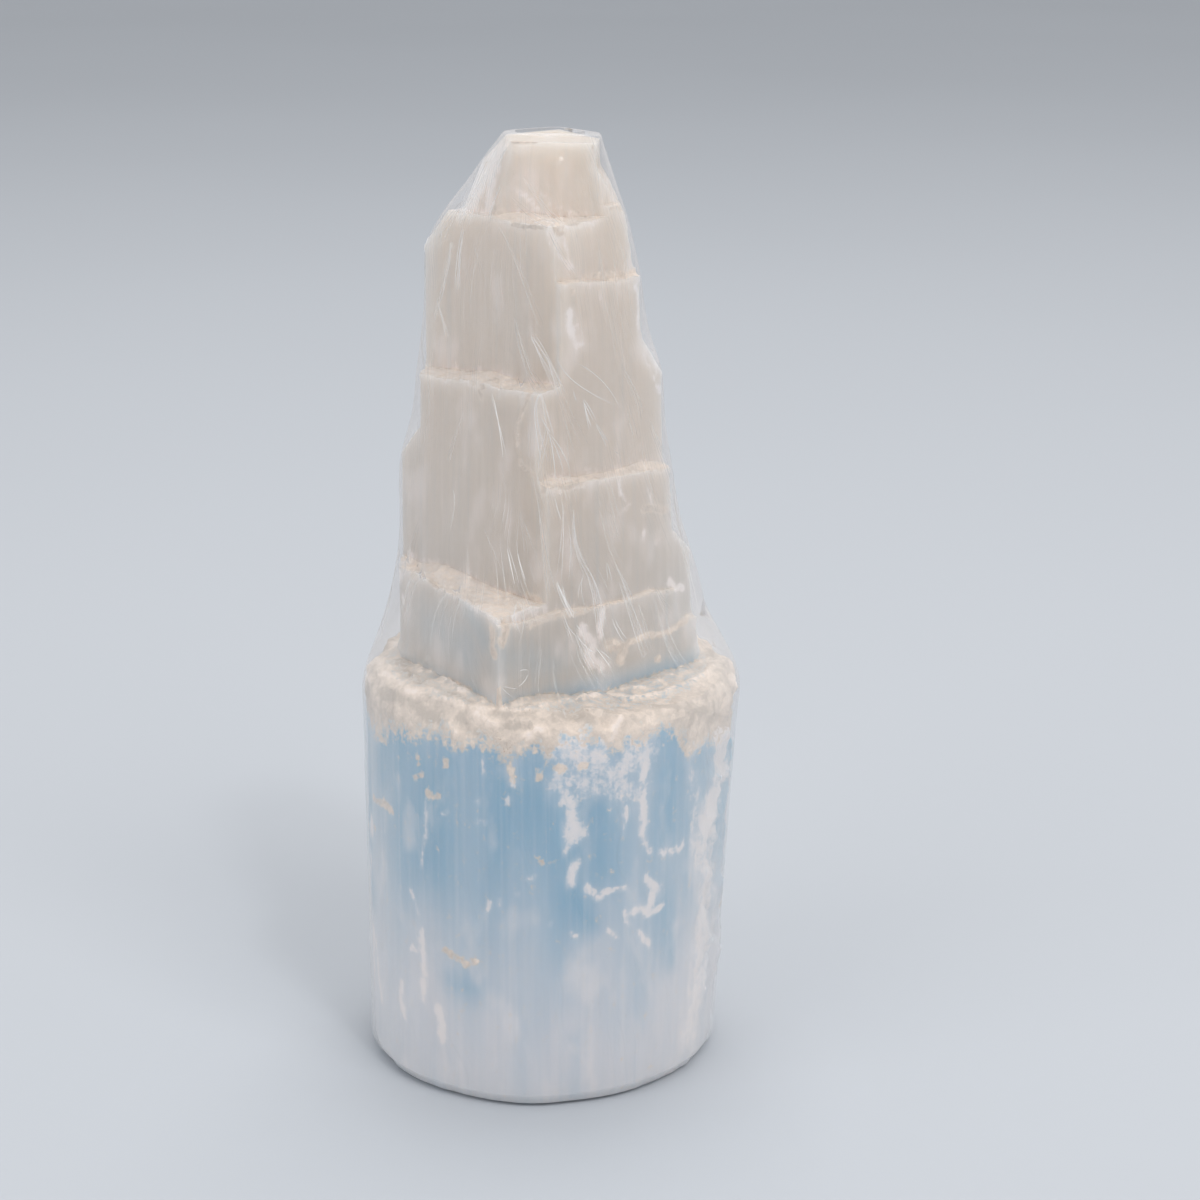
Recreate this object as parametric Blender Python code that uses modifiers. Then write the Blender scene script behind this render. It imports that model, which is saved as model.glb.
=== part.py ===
"""A selenite tower: a fluted round column that rises, above a crumbled shoulder, into a stepped
and faceted peak. It grew, was cut and stands as one piece. A clear shrink film is wrapped tightly
round it, as a sleeve that is open under the column and on the top.

The frame is in metres: +Z up, the origin at the middle of the foot, and -Y the side that is
looked at. The tables below are in millimetres. A facing is an angle in degrees from the front
(-Y), positive towards the right (+X).
"""

import math
from collections import namedtuple

import bmesh
import bpy
import numpy as np
from mathutils import Matrix, Vector, noise
from mathutils.bvhtree import BVHTree

MM = 0.001
WELD = 0.0001

HEIGHT = 200.0
FOOT_RADIUS = 38.9
FOOT_ROUNDING = 3.0
FOOT_CORNER = 0.9
SHOULDER_HEIGHT = 86.0
RIM_ROUNDING = 2.0
TOP_TILT = 4.0
TOP_BACK = 9.4

# The column widens towards the right as it rises, by its flare on each side of a pivot height.
RIGHT_FLARE = 4.0
RIGHT_FLARE_FACING = 80.0
FLARE_PIVOT = 0.75

COLUMN_SEGMENTS = 80
WALL_ROWS = 14
WALL_CROWDING = 1.15
CRUMBLED_HEIGHT = 9.0
LUMP_HEIGHT = 1.4
GRIT_HEIGHT = 0.9
GRIT_DEPTH = 0.8
FIBRE_DEPTH = 0.55
RIPPLE_DEPTH = 0.35
RIB_FACINGS = (58.0, 76.0, 93.0)
RIB_HEIGHT = 1.3
RIB_WIDTH = 5.5
RIB_BREAKAGE = 0.35
RIB_AT_FOOT = 0.35

# Noise, by how fast it changes across the fibres and along them, per millimetre.
Grain = namedtuple("Grain", "across along seed")
FIBRES = Grain(0.108, 0.012, 0.0)
RIPPLES = Grain(0.28, 0.05, 7.0)
BREAKS = Grain(0.07, 0.16, 3.0)
LUMPS = Grain(0.16, 0.0, 2.0)
GRIT = Grain(0.5, 0.0, 9.0)
SPLINTERS = Grain(0.22, 0.0, 5.3)

BLOCK_HALF_WIDTH = 42.0
BLOCK_BOTTOM = 77.0
CUTTER_REACH = 60.0
CUTTER_HEADROOM = 10.0
LEDGE_SPANS = 14
LEDGE_ROWS = 3
LEDGE_ROUGHNESS = 1.3
LEDGE_CROWDING = 2

# The film hangs clear of the crystal by its gap. It is checked at several probes per face.
FILM_GAP = 0.35
FILM_THICKNESS = 0.2
FILM_SEGMENTS = 48
FILM_COLUMN_ROWS = 6
FILM_PEAK_ROWS = 24
FILM_PEAK_DROP = 4.0
FILM_BOTTOM = 3.0
FILM_LIP = 0.72
FILM_PROBES = 8
FILM_SETTLING = 220
FILM_PUSHES = 30
FILM_TOUCH = 0.05
FILM_HOOP_SHARE = 0.35

IOR = 1.52
SELENITE_COLOUR = (0.86, 0.87, 0.88)
SELENITE_ROUGHNESS = 0.35
SELENITE_CLEARNESS = 0.4
FILM_COLOUR = (0.95, 0.96, 0.97)
FILM_ROUGHNESS = 0.08
FILM_ALPHA = 0.15

# The shoulder's height on its way round: at the rim, and further in, where it meets the peak.
Shoulder = namedtuple("Shoulder", "facing rim inner")
SHOULDERS = (
    Shoulder(-90, 86.5, 88.5),
    Shoulder(-40, 82.5, 89.0),
    Shoulder(-5, 84.0, 88.5),
    Shoulder(40, 85.0, 85.5),
    Shoulder(90, 86.5, 87.5),
    Shoulder(180, 88.0, 90.0),
)
SHOULDER_RADII = (0.72, 0.82, 0.89, 0.95)

# A saw cut takes away all that lies beyond a wall and above a ledge. The wall's distance from the
# axis is the one at the ledge, and it leans inwards as it rises. The ledge slopes down outwards,
# and its tilt is how much it falls towards the side that is on the right from outside.
Cut = namedtuple("Cut", "facing ledge wall lean slope tilt", defaults=(0.0,))
FOOT_OF_CUTS = 74.0
CUTS = (
    # The front left side, from the block at the shoulder upwards.
    Cut(-55, FOOT_OF_CUTS, 27.4, 1.0, 0),
    Cut(-41, 108.3, 18.4, 1.5, 6, 4),
    Cut(-41, 151.0, 11.6, 1.0, 8),
    # The front right side.
    Cut(39, FOOT_OF_CUTS, 21.2, 1.0, 0),
    Cut(54, 98.0, 25.0, 3.0, 25),
    Cut(39, 105.0, 19.8, 1.0, 15),
    Cut(39, 132.0, 16.9, 1.0, 20),
    Cut(39, 172.0, 14.7, 1.0, 15),
    # The right side, behind the right corner.
    Cut(127, FOOT_OF_CUTS, 26.0, 1.0, 0),
    Cut(127, 117.0, 19.4, 1.0, 45),
    Cut(127, 158.0, 13.6, 3.0, 56),
    Cut(127, 173.0, 12.4, 9.0, 20),
    # The back left side.
    Cut(-150, FOOT_OF_CUTS, 26.5, 1.0, 0),
    Cut(-150, 97.0, 24.6, 2.0, 15),
    Cut(-150, 127.0, 21.8, 1.0, 20),
    Cut(-150, 159.0, 20.2, 1.0, 15),
    Cut(-150, 174.0, 20.0, 27.0, 0),
    # The left side and the long slope above it.
    Cut(-97, FOOT_OF_CUTS, 31.4, 0.5, 0),
    Cut(-78, FOOT_OF_CUTS, 31.3, 0.5, 0),
    Cut(-97, 138.5, 26.3, 0.5, 50),
    Cut(-86, 174.3, 26.0, 34.0, 0),
    Cut(-80, 186.0, 19.3, 42.0, 0),
    # The block at the top.
    Cut(-8, 184.0, 6.0, 1.5, 5),
    Cut(-60, 184.0, 11.0, 10.5, 8),
    Cut(39, 186.0, 13.3, 2.0, 8),
    Cut(84, 194.0, 11.6, 1.0, 58),
)


def direction(facing):
    """The unit vector that points out of the object at a facing."""
    angle = math.radians(facing)
    return Vector((math.sin(angle), -math.cos(angle), 0.0))


def facing_of(point):
    """The facing, in degrees, of a point as seen from the axis."""
    return math.degrees(math.atan2(point.x, -point.y))


def turned_from(facing, other):
    """How many degrees one facing is away from another."""
    return abs((facing - other + 180.0) % 360.0 - 180.0)


def grain_at(place, grain):
    """Smooth noise, from about -1 to 1, at a place in the object."""
    height = place.z * grain.along + grain.seed
    return noise.noise(Vector((place.x * grain.across, place.y * grain.across, height)))


def clear_scene():
    for item in list(bpy.data.objects):
        bpy.data.objects.remove(item, do_unlink=True)


def new_collection(name):
    collection = bpy.data.collections.new(name)
    bpy.context.scene.collection.children.link(collection)
    return collection


def new_material(name, colour, roughness, transmission, alpha=1.0):
    material = bpy.data.materials.new(name)
    material.use_nodes = True
    shader = material.node_tree.nodes["Principled BSDF"]
    shader.inputs["Base Color"].default_value = (*colour, 1.0)
    shader.inputs["Roughness"].default_value = roughness
    shader.inputs["Metallic"].default_value = 0.0
    shader.inputs["Transmission Weight"].default_value = transmission
    shader.inputs["IOR"].default_value = IOR
    shader.inputs["Alpha"].default_value = alpha
    return material


def object_from(name, mesh, collection):
    item = bpy.data.objects.new(name, mesh)
    collection.objects.link(item)
    return item


def helper_from(name, mesh, collection):
    """An object that only a modifier uses."""
    item = object_from(name, mesh, collection)
    item.hide_render = True
    item.display_type = "WIRE"
    return item


def in_metres(mesh):
    """The same mesh, made in millimetres, brought to metres."""
    mesh.transform(Matrix.Scale(MM, 4))
    return mesh


def mesh_from(name, shape):
    """The mesh, in metres, of a bmesh that was made in millimetres."""
    mesh = bpy.data.meshes.new(name)
    shape.to_mesh(mesh)
    shape.free()
    return in_metres(mesh)


def column_profile():
    """The column's outline, from the middle of the shoulder out, down the wall and under the foot."""
    wall_top = SHOULDER_HEIGHT - RIM_ROUNDING
    points = [(0.0, SHOULDER_HEIGHT)]
    points += [(share * FOOT_RADIUS, SHOULDER_HEIGHT) for share in SHOULDER_RADII]
    for row in range(WALL_ROWS):
        drop = (row / (WALL_ROWS - 1)) ** WALL_CROWDING
        points.append((FOOT_RADIUS, wall_top + (FOOT_ROUNDING - wall_top) * drop))
    points.append((FOOT_RADIUS - FOOT_CORNER, FOOT_CORNER))
    points.append((FOOT_RADIUS - FOOT_ROUNDING, 0.0))
    points.append((0.0, 0.0))
    return points


def ribs_at(facing):
    """How far the broken vertical ribs on the right of the column stand out at a facing."""
    return sum(
        RIB_HEIGHT * math.exp(-((turned_from(facing, rib) / RIB_WIDTH) ** 2)) for rib in RIB_FACINGS
    )


def around(facing, heights):
    """Reads a height off the shoulder table, on the way round at a facing."""
    return float(np.interp(facing, [s.facing for s in SHOULDERS], heights, period=360.0))


def shoulder_lift(facing, radius):
    """How far the shoulder lies above its mean height, from the peak's foot out to the rim."""
    rim = around(facing, [s.rim for s in SHOULDERS])
    inner = around(facing, [s.inner for s in SHOULDERS])
    inner_radius = SHOULDER_RADII[1] * FOOT_RADIUS
    out = min(1.0, max(0.0, (radius - inner_radius) / (FOOT_RADIUS - inner_radius)))
    return inner + (rim - inner) * out * out - SHOULDER_HEIGHT


def weathered_column_point(point):
    """Moves a point of the turned column to where the real, fibrous and broken one has it."""
    radius = math.hypot(point.x, point.y)
    if radius == 0.0:
        return point.copy()
    facing = facing_of(point)
    outward = direction(facing)
    out = radius / FOOT_RADIUS
    upper = min(1.0, point.z / SHOULDER_HEIGHT)
    flare = RIGHT_FLARE * max(0.0, math.cos(math.radians(facing - RIGHT_FLARE_FACING)))
    unbroken = 1.0 - RIB_BREAKAGE * (1.0 - grain_at(point, BREAKS))
    ribs = ribs_at(facing) * unbroken * (RIB_AT_FOOT + (1.0 - RIB_AT_FOOT) * upper)
    grown = FIBRE_DEPTH * grain_at(point, FIBRES) + RIPPLE_DEPTH * grain_at(point, RIPPLES)
    moved = radius + out * (flare * (upper - FLARE_PIVOT) + grown + ribs)
    height = point.z
    if height > SHOULDER_HEIGHT - CRUMBLED_HEIGHT:
        crumbled = min(1.0, (height - SHOULDER_HEIGHT) / CRUMBLED_HEIGHT + 1.0)
        grit = grain_at(point, GRIT)
        lumps = LUMP_HEIGHT * grain_at(point, LUMPS) + GRIT_HEIGHT * grit
        height += crumbled * (shoulder_lift(facing, radius) + lumps)
        moved += crumbled * GRIT_DEPTH * grit * out
    return Vector((outward.x * moved, outward.y * moved, height))


def turned_column(collection):
    """The mesh of the smooth column: its outline turned round the axis with a Screw."""
    outline = bpy.data.meshes.new("column_outline")
    points = [(x, 0.0, z) for x, z in column_profile()]
    outline.from_pydata(points, [(i, i + 1) for i in range(len(points) - 1)], [])
    lathe = object_from("column_outline", outline, collection)
    screw = lathe.modifiers.new("turn", "SCREW")
    screw.steps = screw.render_steps = COLUMN_SEGMENTS
    screw.use_merge_vertices = True
    screw.merge_threshold = WELD
    bpy.context.view_layer.update()
    graph = bpy.context.evaluated_depsgraph_get()
    mesh = bpy.data.meshes.new_from_object(lathe.evaluated_get(graph))
    bpy.data.objects.remove(lathe)
    return mesh


def make_cutter(index, cut, collection):
    """A wedge over a rough ledge: what it covers is sawn and split away."""
    shape = bmesh.new()
    bmesh.ops.create_cube(shape, size=2.0)
    floor = [e for e in shape.edges if all(v.co.z < 0 for v in e.verts)]
    across = [e for e in floor if abs(e.verts[0].co.y - e.verts[1].co.y) > 1.0]
    bmesh.ops.subdivide_edges(shape, edges=across, cuts=LEDGE_SPANS, use_grid_fill=True)
    away = [
        e
        for e in shape.edges
        if all(v.co.z < 0 for v in e.verts) and abs(e.verts[0].co.x - e.verts[1].co.x) > 1.0
    ]
    bmesh.ops.subdivide_edges(shape, edges=away, cuts=LEDGE_ROWS, use_grid_fill=True)
    outward = direction(cut.facing)
    along = Vector((-outward.y, outward.x, 0.0))
    lean = math.tan(math.radians(cut.lean))
    slope = math.tan(math.radians(cut.slope))
    tilt = math.tan(math.radians(cut.tilt))
    for vertex in shape.verts:
        reach = ((vertex.co.x + 1.0) / 2.0) ** LEDGE_CROWDING * CUTTER_REACH
        side = along * vertex.co.y * CUTTER_REACH
        height = HEIGHT + CUTTER_HEADROOM
        if vertex.co.z < 0:
            height = cut.ledge - reach * slope - vertex.co.y * CUTTER_REACH * tilt
            if cut.ledge > FOOT_OF_CUTS:
                splinters = SPLINTERS._replace(seed=index * SPLINTERS.seed)
                place = outward * (cut.wall + reach) + side
                height += LEDGE_ROUGHNESS * grain_at(place, splinters)
        lean_in = (height - cut.ledge) * lean if reach == 0 else 0.0
        vertex.co = outward * (cut.wall + reach - lean_in) + side
        vertex.co.z = height
    bmesh.ops.triangulate(shape, faces=[f for f in shape.faces if len(f.verts) == 4])
    bmesh.ops.recalc_face_normals(shape, faces=shape.faces)
    name = f"cutter_{index}"
    return helper_from(name, mesh_from(name, shape), collection)


def make_peak(collection):
    """The stepped peak: a block that is sawn and split away on all sides."""
    shape = bmesh.new()
    bmesh.ops.create_cube(shape, size=1.0)
    for vertex in shape.verts:
        vertex.co.x *= 2 * BLOCK_HALF_WIDTH
        vertex.co.y *= 2 * BLOCK_HALF_WIDTH
        tilted_top = HEIGHT + (vertex.co.y - TOP_BACK) * math.tan(math.radians(TOP_TILT))
        vertex.co.z = BLOCK_BOTTOM if vertex.co.z < 0 else tilted_top
    peak = helper_from("peak", mesh_from("peak", shape), collection)
    for index, cut in enumerate(CUTS):
        saw = peak.modifiers.new(f"cut_{index}", "BOOLEAN")
        saw.operation = "DIFFERENCE"
        saw.solver = "EXACT"
        saw.object = make_cutter(index, cut, collection)
    return peak


def make_crystal(collection, cutters, material):
    """The column and the peak, grown together as one solid."""
    mesh = turned_column(cutters)
    for vertex in mesh.vertices:
        vertex.co = weathered_column_point(vertex.co)
    mesh.materials.append(material)
    crystal = object_from("selenite_crystal", in_metres(mesh), collection)
    union = crystal.modifiers.new("grown_together", "BOOLEAN")
    union.operation = "UNION"
    union.solver = "EXACT"
    union.object = make_peak(cutters)
    return crystal


def film_heights():
    """The film's rows: few on the straight column, more over the shoulder and the stepped peak."""
    on_column = np.linspace(FILM_BOTTOM, SHOULDER_HEIGHT - CRUMBLED_HEIGHT, FILM_COLUMN_ROWS)
    on_peak = np.linspace(SHOULDER_HEIGHT - FILM_PEAK_DROP, HEIGHT + FILM_GAP, FILM_PEAK_ROWS)
    return np.concatenate([on_column, on_peak])


def crystal_radii(crystal, heights, facings):
    """How far the crystal reaches from the axis, at each height and facing."""
    bpy.context.view_layer.update()
    tree = BVHTree.FromObject(crystal, bpy.context.evaluated_depsgraph_get())
    radii = np.zeros((len(heights), len(facings)))
    for row, height in enumerate(heights):
        for column, facing in enumerate(facings):
            outward = direction(facing)
            start = (outward * CUTTER_REACH + Vector((0.0, 0.0, height))) * MM
            hit = tree.ray_cast(start, -outward)[0]
            if hit is not None:
                radii[row, column] = math.hypot(hit.x, hit.y) / MM
    return radii


def film_between(radii, rows, share):
    """The film's radius at points between its vertices, where its flat faces lie inside the arc."""
    low = np.floor(rows).astype(int)
    high = np.minimum(low + 1, len(radii) - 1)
    up = (rows - low)[:, None]
    upright = radii[low] * (1.0 - up) + radii[high] * up
    across = np.arange(share) / share
    chord = math.cos(math.pi / FILM_SEGMENTS) / np.cos((across - 0.5) * 2.0 * math.pi / FILM_SEGMENTS)
    chord[0] = 1.0
    turned = np.roll(upright, -1, axis=1)
    fine = upright[:, :, None] * (1.0 - across) + turned[:, :, None] * across
    return (fine * chord).reshape(len(rows), -1)


def pulled_tight(radii, heights):
    """One step of a stretched membrane: each vertex moves to the straight line between its neighbours."""
    below, level, above = heights[:-2], heights[1:-1], heights[2:]
    share = ((level - below) / (above - below))[:, None]
    before, after = np.roll(radii, 1, axis=1), np.roll(radii, -1, axis=1)
    hoop = 2.0 * before * after * math.cos(2.0 * math.pi / FILM_SEGMENTS) / (before + after)
    upright = radii[:-2] * (1.0 - share) + radii[2:] * share
    pulled = hoop.copy()
    pulled[1:-1] = FILM_HOOP_SHARE * hoop[1:-1] + (1.0 - FILM_HOOP_SHARE) * upright
    return 0.5 * (radii + pulled)


def film_radii(crystal, heights):
    """The film shrunk from outside onto the crystal: it stays clear of it all over, also mid-face."""
    rows = np.arange(0, (len(heights) - 1) * FILM_PROBES + 1) / FILM_PROBES
    fine_heights = np.minimum(np.interp(rows, np.arange(len(heights)), heights), HEIGHT - FILM_GAP)
    fine_facings = np.arange(FILM_SEGMENTS * FILM_PROBES) * 360.0 / (FILM_SEGMENTS * FILM_PROBES)
    least = crystal_radii(crystal, fine_heights, fine_facings) + FILM_GAP
    radii = least[::FILM_PROBES, ::FILM_PROBES].copy()
    for _ in range(FILM_SETTLING):
        radii = pulled_tight(radii, heights)
        for _ in range(FILM_PUSHES):
            short = np.maximum(0.0, least - film_between(radii, rows, FILM_PROBES))
            if short.max() < FILM_TOUCH:
                break
            near = [np.roll(short, step, axis=1) for step in range(1 - FILM_PROBES, FILM_PROBES)]
            wide = np.max(near, axis=0)[:, ::FILM_PROBES]
            padded = np.pad(wide, ((FILM_PROBES, FILM_PROBES), (0, 0)))
            spans = range(1, 2 * FILM_PROBES)
            tall = np.max([padded[span : span + len(wide)] for span in spans], axis=0)
            radii = radii + 0.5 * tall[::FILM_PROBES]
    return radii + short.max()


def make_film(crystal, collection, material):
    """The shrink film: a grid rolled into a sleeve, drawn tight, its top edge turned in over the top."""
    heights = film_heights()
    radii = film_radii(crystal, heights)
    heights = np.append(heights, HEIGHT + 2.0 * FILM_GAP)
    radii = np.vstack([radii, radii[-1] * FILM_LIP])
    shape = bmesh.new()
    rows = len(heights)
    bmesh.ops.create_grid(shape, x_segments=FILM_SEGMENTS, y_segments=rows - 1, size=0.5)
    for vertex in shape.verts:
        turn = round((vertex.co.x + 0.5) * FILM_SEGMENTS) % FILM_SEGMENTS
        row = round((vertex.co.y + 0.5) * (rows - 1))
        outward = direction(turn * 360.0 / FILM_SEGMENTS)
        vertex.co = outward * radii[row, turn] + Vector((0.0, 0.0, heights[row]))
    bmesh.ops.remove_doubles(shape, verts=shape.verts, dist=WELD)
    bmesh.ops.recalc_face_normals(shape, faces=shape.faces)
    mesh = mesh_from("shrink_film", shape)
    mesh.materials.append(material)
    film = object_from("shrink_film", mesh, collection)
    wall = film.modifiers.new("thickness", "SOLIDIFY")
    wall.thickness = FILM_THICKNESS * MM
    wall.offset = 1.0
    return film


def main():
    clear_scene()
    parts = new_collection("selenite_tower")
    cutters = new_collection("cutters")
    selenite = new_material("selenite", SELENITE_COLOUR, SELENITE_ROUGHNESS, SELENITE_CLEARNESS)
    crystal = make_crystal(parts, cutters, selenite)
    clear_film = new_material("clear_film", FILM_COLOUR, FILM_ROUGHNESS, 0.0, FILM_ALPHA)
    make_film(crystal, parts, clear_film)


main()
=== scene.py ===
"""A selenite tower in its clear shrink film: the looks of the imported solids.

Lengths in the tables are in millimetres. A facing is an angle in degrees from the front (-Y),
positive towards the right (+X). Places that the photograph shows are in pixels of its frame.
"""

import math
import random
from collections import namedtuple

import bmesh
import bpy
import numpy as np
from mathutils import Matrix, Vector, noise
from mathutils.bvhtree import BVHTree


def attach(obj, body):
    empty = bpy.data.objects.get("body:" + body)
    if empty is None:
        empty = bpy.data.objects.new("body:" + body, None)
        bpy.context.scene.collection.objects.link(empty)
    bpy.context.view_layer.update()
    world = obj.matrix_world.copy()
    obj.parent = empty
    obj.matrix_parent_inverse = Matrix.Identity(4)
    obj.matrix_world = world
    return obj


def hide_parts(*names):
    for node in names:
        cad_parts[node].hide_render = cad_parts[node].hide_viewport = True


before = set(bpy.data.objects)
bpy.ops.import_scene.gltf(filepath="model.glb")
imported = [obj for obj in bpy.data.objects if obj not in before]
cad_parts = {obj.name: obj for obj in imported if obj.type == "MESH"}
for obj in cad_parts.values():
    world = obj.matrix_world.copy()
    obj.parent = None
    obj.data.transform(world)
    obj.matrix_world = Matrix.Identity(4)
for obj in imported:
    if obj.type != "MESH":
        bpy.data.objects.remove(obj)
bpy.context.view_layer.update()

# Blender seeds its vector noise from the clock, unless it is given a seed.
noise.seed_set(7)

bl_info = {
    "name": "Selenite Tower",
    "version": (1, 0, 0),
    "blender": (4, 5, 0),
    "location": "View3D > Sidebar > Selenite",
    "description": "Dresses a selenite tower in its crust, its fibres and its clear shrink film",
    "category": "Object",
}

MM = 0.001
WELD = 1e-6

# The camera, which stands where the photograph's did.
PHOTO_SIDE = 1200.0
CAMERA_PLACE = (0.0115, -0.554, 0.258)
CAMERA_PITCH = 74.16
CAMERA_LENS = 80.4
CAMERA_SENSOR = 36.0

# The crystal's mesh: crisp quads about 0.8 mm across, over the solid's own faces.
REMESH_DEPTH = 8
REMESH_SCALE = 0.97

# The finest mark that this mesh can hold.
LEAST_REACH = 0.55

# The angle, in degrees, above which an edge stays sharp.
CRYSTAL_CREASE = 32.0
FILM_CREASE = 50.0

# The facings that are out of the camera's sight, and what is scattered there: how many marks,
# between which heights, how far they reach, and how far they go round (in degrees) and up.
HIDDEN_SIDE = (88.0, 285.0)
Scatter = namedtuple("Scatter", "count heights reach turn rise", defaults=(3.0, 3.0))
HIDDEN_CRUMBS = Scatter(30, (12.0, 76.0), (0.4, 1.2))
HIDDEN_CLOUDS = Scatter(26, (8.0, 74.0), (0.9, 2.6), rise=16.0)
HIDDEN_CLEARINGS = Scatter(9, (30.0, 74.0), (3.0, 8.0), rise=18.0)
# The ridges painted lighter as highlight, and the folds painted darker as shade.
HIDDEN_RIDGES_PAINTED_LIGHT = Scatter(22, (83.0, 91.0), (0.5, 1.0), turn=14.0, rise=2.5)
HIDDEN_FOLDS_PAINTED_SHADE = Scatter(22, (81.0, 90.0), (0.4, 0.9), turn=10.0, rise=2.0)
HIDDEN_CREASES = 46

# Where the column ends and the stepped peak begins.
SHOULDER = 85.0
SHOULDER_TOP = 92.0
RIM_RADIUS = 35.0
FOOT = 1.5
OUTSIDE_ALL = 60.0

# Where the stone changes on its way up, from one height to another.
COLUMN_END = (84.0, 92.0)
# Between these heights the column is painted bluer: partly its own tint, partly painted reflection.
COOL_AND_REFLECTED_HEIGHTS = (12.0, 62.0)
LOW_PEAK = (92.0, 128.0)
LOWEST_FACES = (108.0, 140.0)
UPPER_FACES = (150.0, 185.0)
TOP_EDGE = (196.0, 198.0)
TOP_FACE = 197.5
FOOT_EDGE = (0.2, 3.0)

# The slope beside the top face, which has few crumbs: above this height, left of this facing.
BARE_SLOPE = (174.0, -60.0)

# Sizes of the crust's crumbs, flakes and grains, and of the fibres: across, then along.
CRUMB_SIZE = 2.2
FLAKE_SIZE = 1.3
GRAIN_SIZE = 0.62
FIBRE_SIZE = (1.3, 60.0)

# The rough band on the right of the column: its facing, and half its width.
BAND_FACING = 81.0
BAND_WIDTH = (15.0, 28.0)

# The lower edge of the crumbled crust round the rim: facing and height.
CRUST_EDGE = (
    (-180, 81.0), (-160, 78.5), (-140, 82.0), (-118, 77.0), (-95, 79.0), (-72, 76.3),
    (-65, 77.6), (-58, 79.0), (-51, 79.3), (-42, 80.2), (-33, 81.6), (-29, 80.6), (-24, 82.0),
    (-16, 80.8), (-12, 78.0), (-7, 81.2), (-2, 81.3), (1, 79.0), (5, 82.9), (11, 83.2),
    (17, 82.5), (23, 80.3), (30, 81.9), (37, 83.4), (45, 79.7), (51, 76.0), (60, 76.5),
    (76, 74.5), (92, 78.0), (108, 80.5), (125, 76.5), (143, 81.5), (160, 79.0),
)

# A mark is a line on a surface, in pixels of the photograph: how far it reaches to each side,
# its way, and how strong it is.
Mark = namedtuple("Mark", "reach path strength", defaults=(1.0,))

CRUMBS = (
    Mark(0.8, ((513, 142), (536, 144))),
    Mark(0.5, ((589, 144), (595, 147))),
    Mark(1.3, ((497, 210), (508, 218))),
    Mark(0.5, ((513, 226), (540, 229), (562, 229))),
    Mark(0.5, ((554, 230), (561, 236))),
    Mark(0.6, ((574, 211), (584, 214), (581, 221), (570, 224))),
    Mark(0.6, ((610, 209), (621, 208))),
    Mark(0.6, ((563, 280), (587, 277), (607, 275))),
    Mark(0.9, ((611, 274), (634, 274))),
    Mark(0.6, ((561, 281), (573, 293))),
    Mark(0.3, ((425, 368), (452, 374), (474, 383))),
    Mark(0.7, ((470, 382), (483, 387), (493, 379), (512, 388))),
    Mark(0.6, ((478, 391), (482, 398))),
    Mark(0.5, ((530, 393), (517, 425), (520, 463), (530, 472), (545, 474))),
    Mark(0.9, ((544, 489), (569, 484), (596, 477))),
    Mark(0.9, ((616, 472), (663, 467))),
    Mark(0.8, ((644, 510), (665, 509))),
    Mark(0.4, ((411, 577), (427, 575), (440, 585), (460, 591), (480, 603), (497, 614))),
    Mark(0.7, ((428, 580), (440, 586))),
    Mark(0.9, ((456, 589), (480, 603), (500, 605))),
    Mark(0.5, ((470, 592), (493, 597), (507, 598))),
    Mark(0.9, ((520, 598), (539, 600))),
    Mark(0.8, ((497, 614), (492, 631), (491, 648), (495, 656))),
    Mark(0.8, ((503, 622), (505, 632), (500, 645))),
    Mark(0.3, ((531, 627), (540, 622), (559, 616), (574, 614), (590, 610))),
    Mark(1.1, ((609, 645), (625, 648), (619, 660))),
    Mark(0.6, ((630, 641), (669, 631), (687, 621))),
    Mark(0.6, ((656, 659), (659, 659))),
    Mark(0.7, ((374, 799), (384, 804), (393, 812))),
    Mark(0.5, ((369, 825), (375, 827))),
    Mark(0.5, ((426, 793), (438, 797))),
    Mark(0.4, ((446, 761), (446, 767))),
    Mark(0.4, ((413, 777), (423, 774))),
    Mark(0.3, ((419, 757), (420, 763))),
    Mark(0.7, ((446, 950), (456, 957), (466, 964), (475, 961))),
    Mark(0.5, ((539, 857), (542, 863))),
    Mark(0.6, ((462, 740), (463, 748))),
    Mark(0.5, ((376, 731), (386, 743))),
    Mark(0.9, ((504, 738), (508, 752))),
    Mark(0.4, ((509, 758), (512, 780))),
    Mark(0.5, ((552, 738), (548, 757))),
    Mark(0.5, ((541, 771), (541, 779))),
    Mark(1.3, ((616, 722), (618, 738))),
    Mark(0.9, ((679, 740), (686, 752))),
    Mark(0.6, ((660, 722), (672, 712))),
    Mark(0.6, ((556, 768), (564, 769))),
    Mark(0.4, ((581, 766), (588, 766))),
    Mark(1.4, ((722, 672), (730, 697), (727, 730))),
    Mark(0.7, ((394, 621), (388, 648))),
)
# The crust's ridges: raised, and painted lighter as a highlight.
RIDGES_PAINTED_LIGHT = (
    Mark(0.9, ((378, 659), (384, 673), (399, 681), (412, 691), (423, 697))),
    Mark(0.8, ((423, 669), (439, 674), (448, 681), (459, 689), (471, 697))),
    Mark(0.6, ((431, 690), (442, 697), (459, 703), (471, 709), (485, 710), (516, 711))),
    Mark(0.8, ((473, 714), (485, 718), (498, 723))),
    Mark(0.5, ((516, 711), (542, 706), (564, 702))),
    Mark(0.8, ((564, 703), (583, 697), (607, 695), (630, 699), (650, 696))),
    Mark(0.8, ((650, 696), (664, 693), (679, 687), (693, 680), (707, 673), (713, 667))),
    Mark(0.3, ((607, 686), (624, 689), (647, 687), (661, 681), (673, 674), (686, 669))),
    Mark(0.5, ((442, 718), (450, 724), (455, 733))),
    Mark(0.4, ((470, 728), (473, 737))),
    Mark(0.5, ((530, 734), (536, 728), (543, 730))),
    Mark(0.5, ((611, 739), (616, 728), (622, 718))),
    Mark(0.4, ((664, 712), (674, 709))),
)
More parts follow.
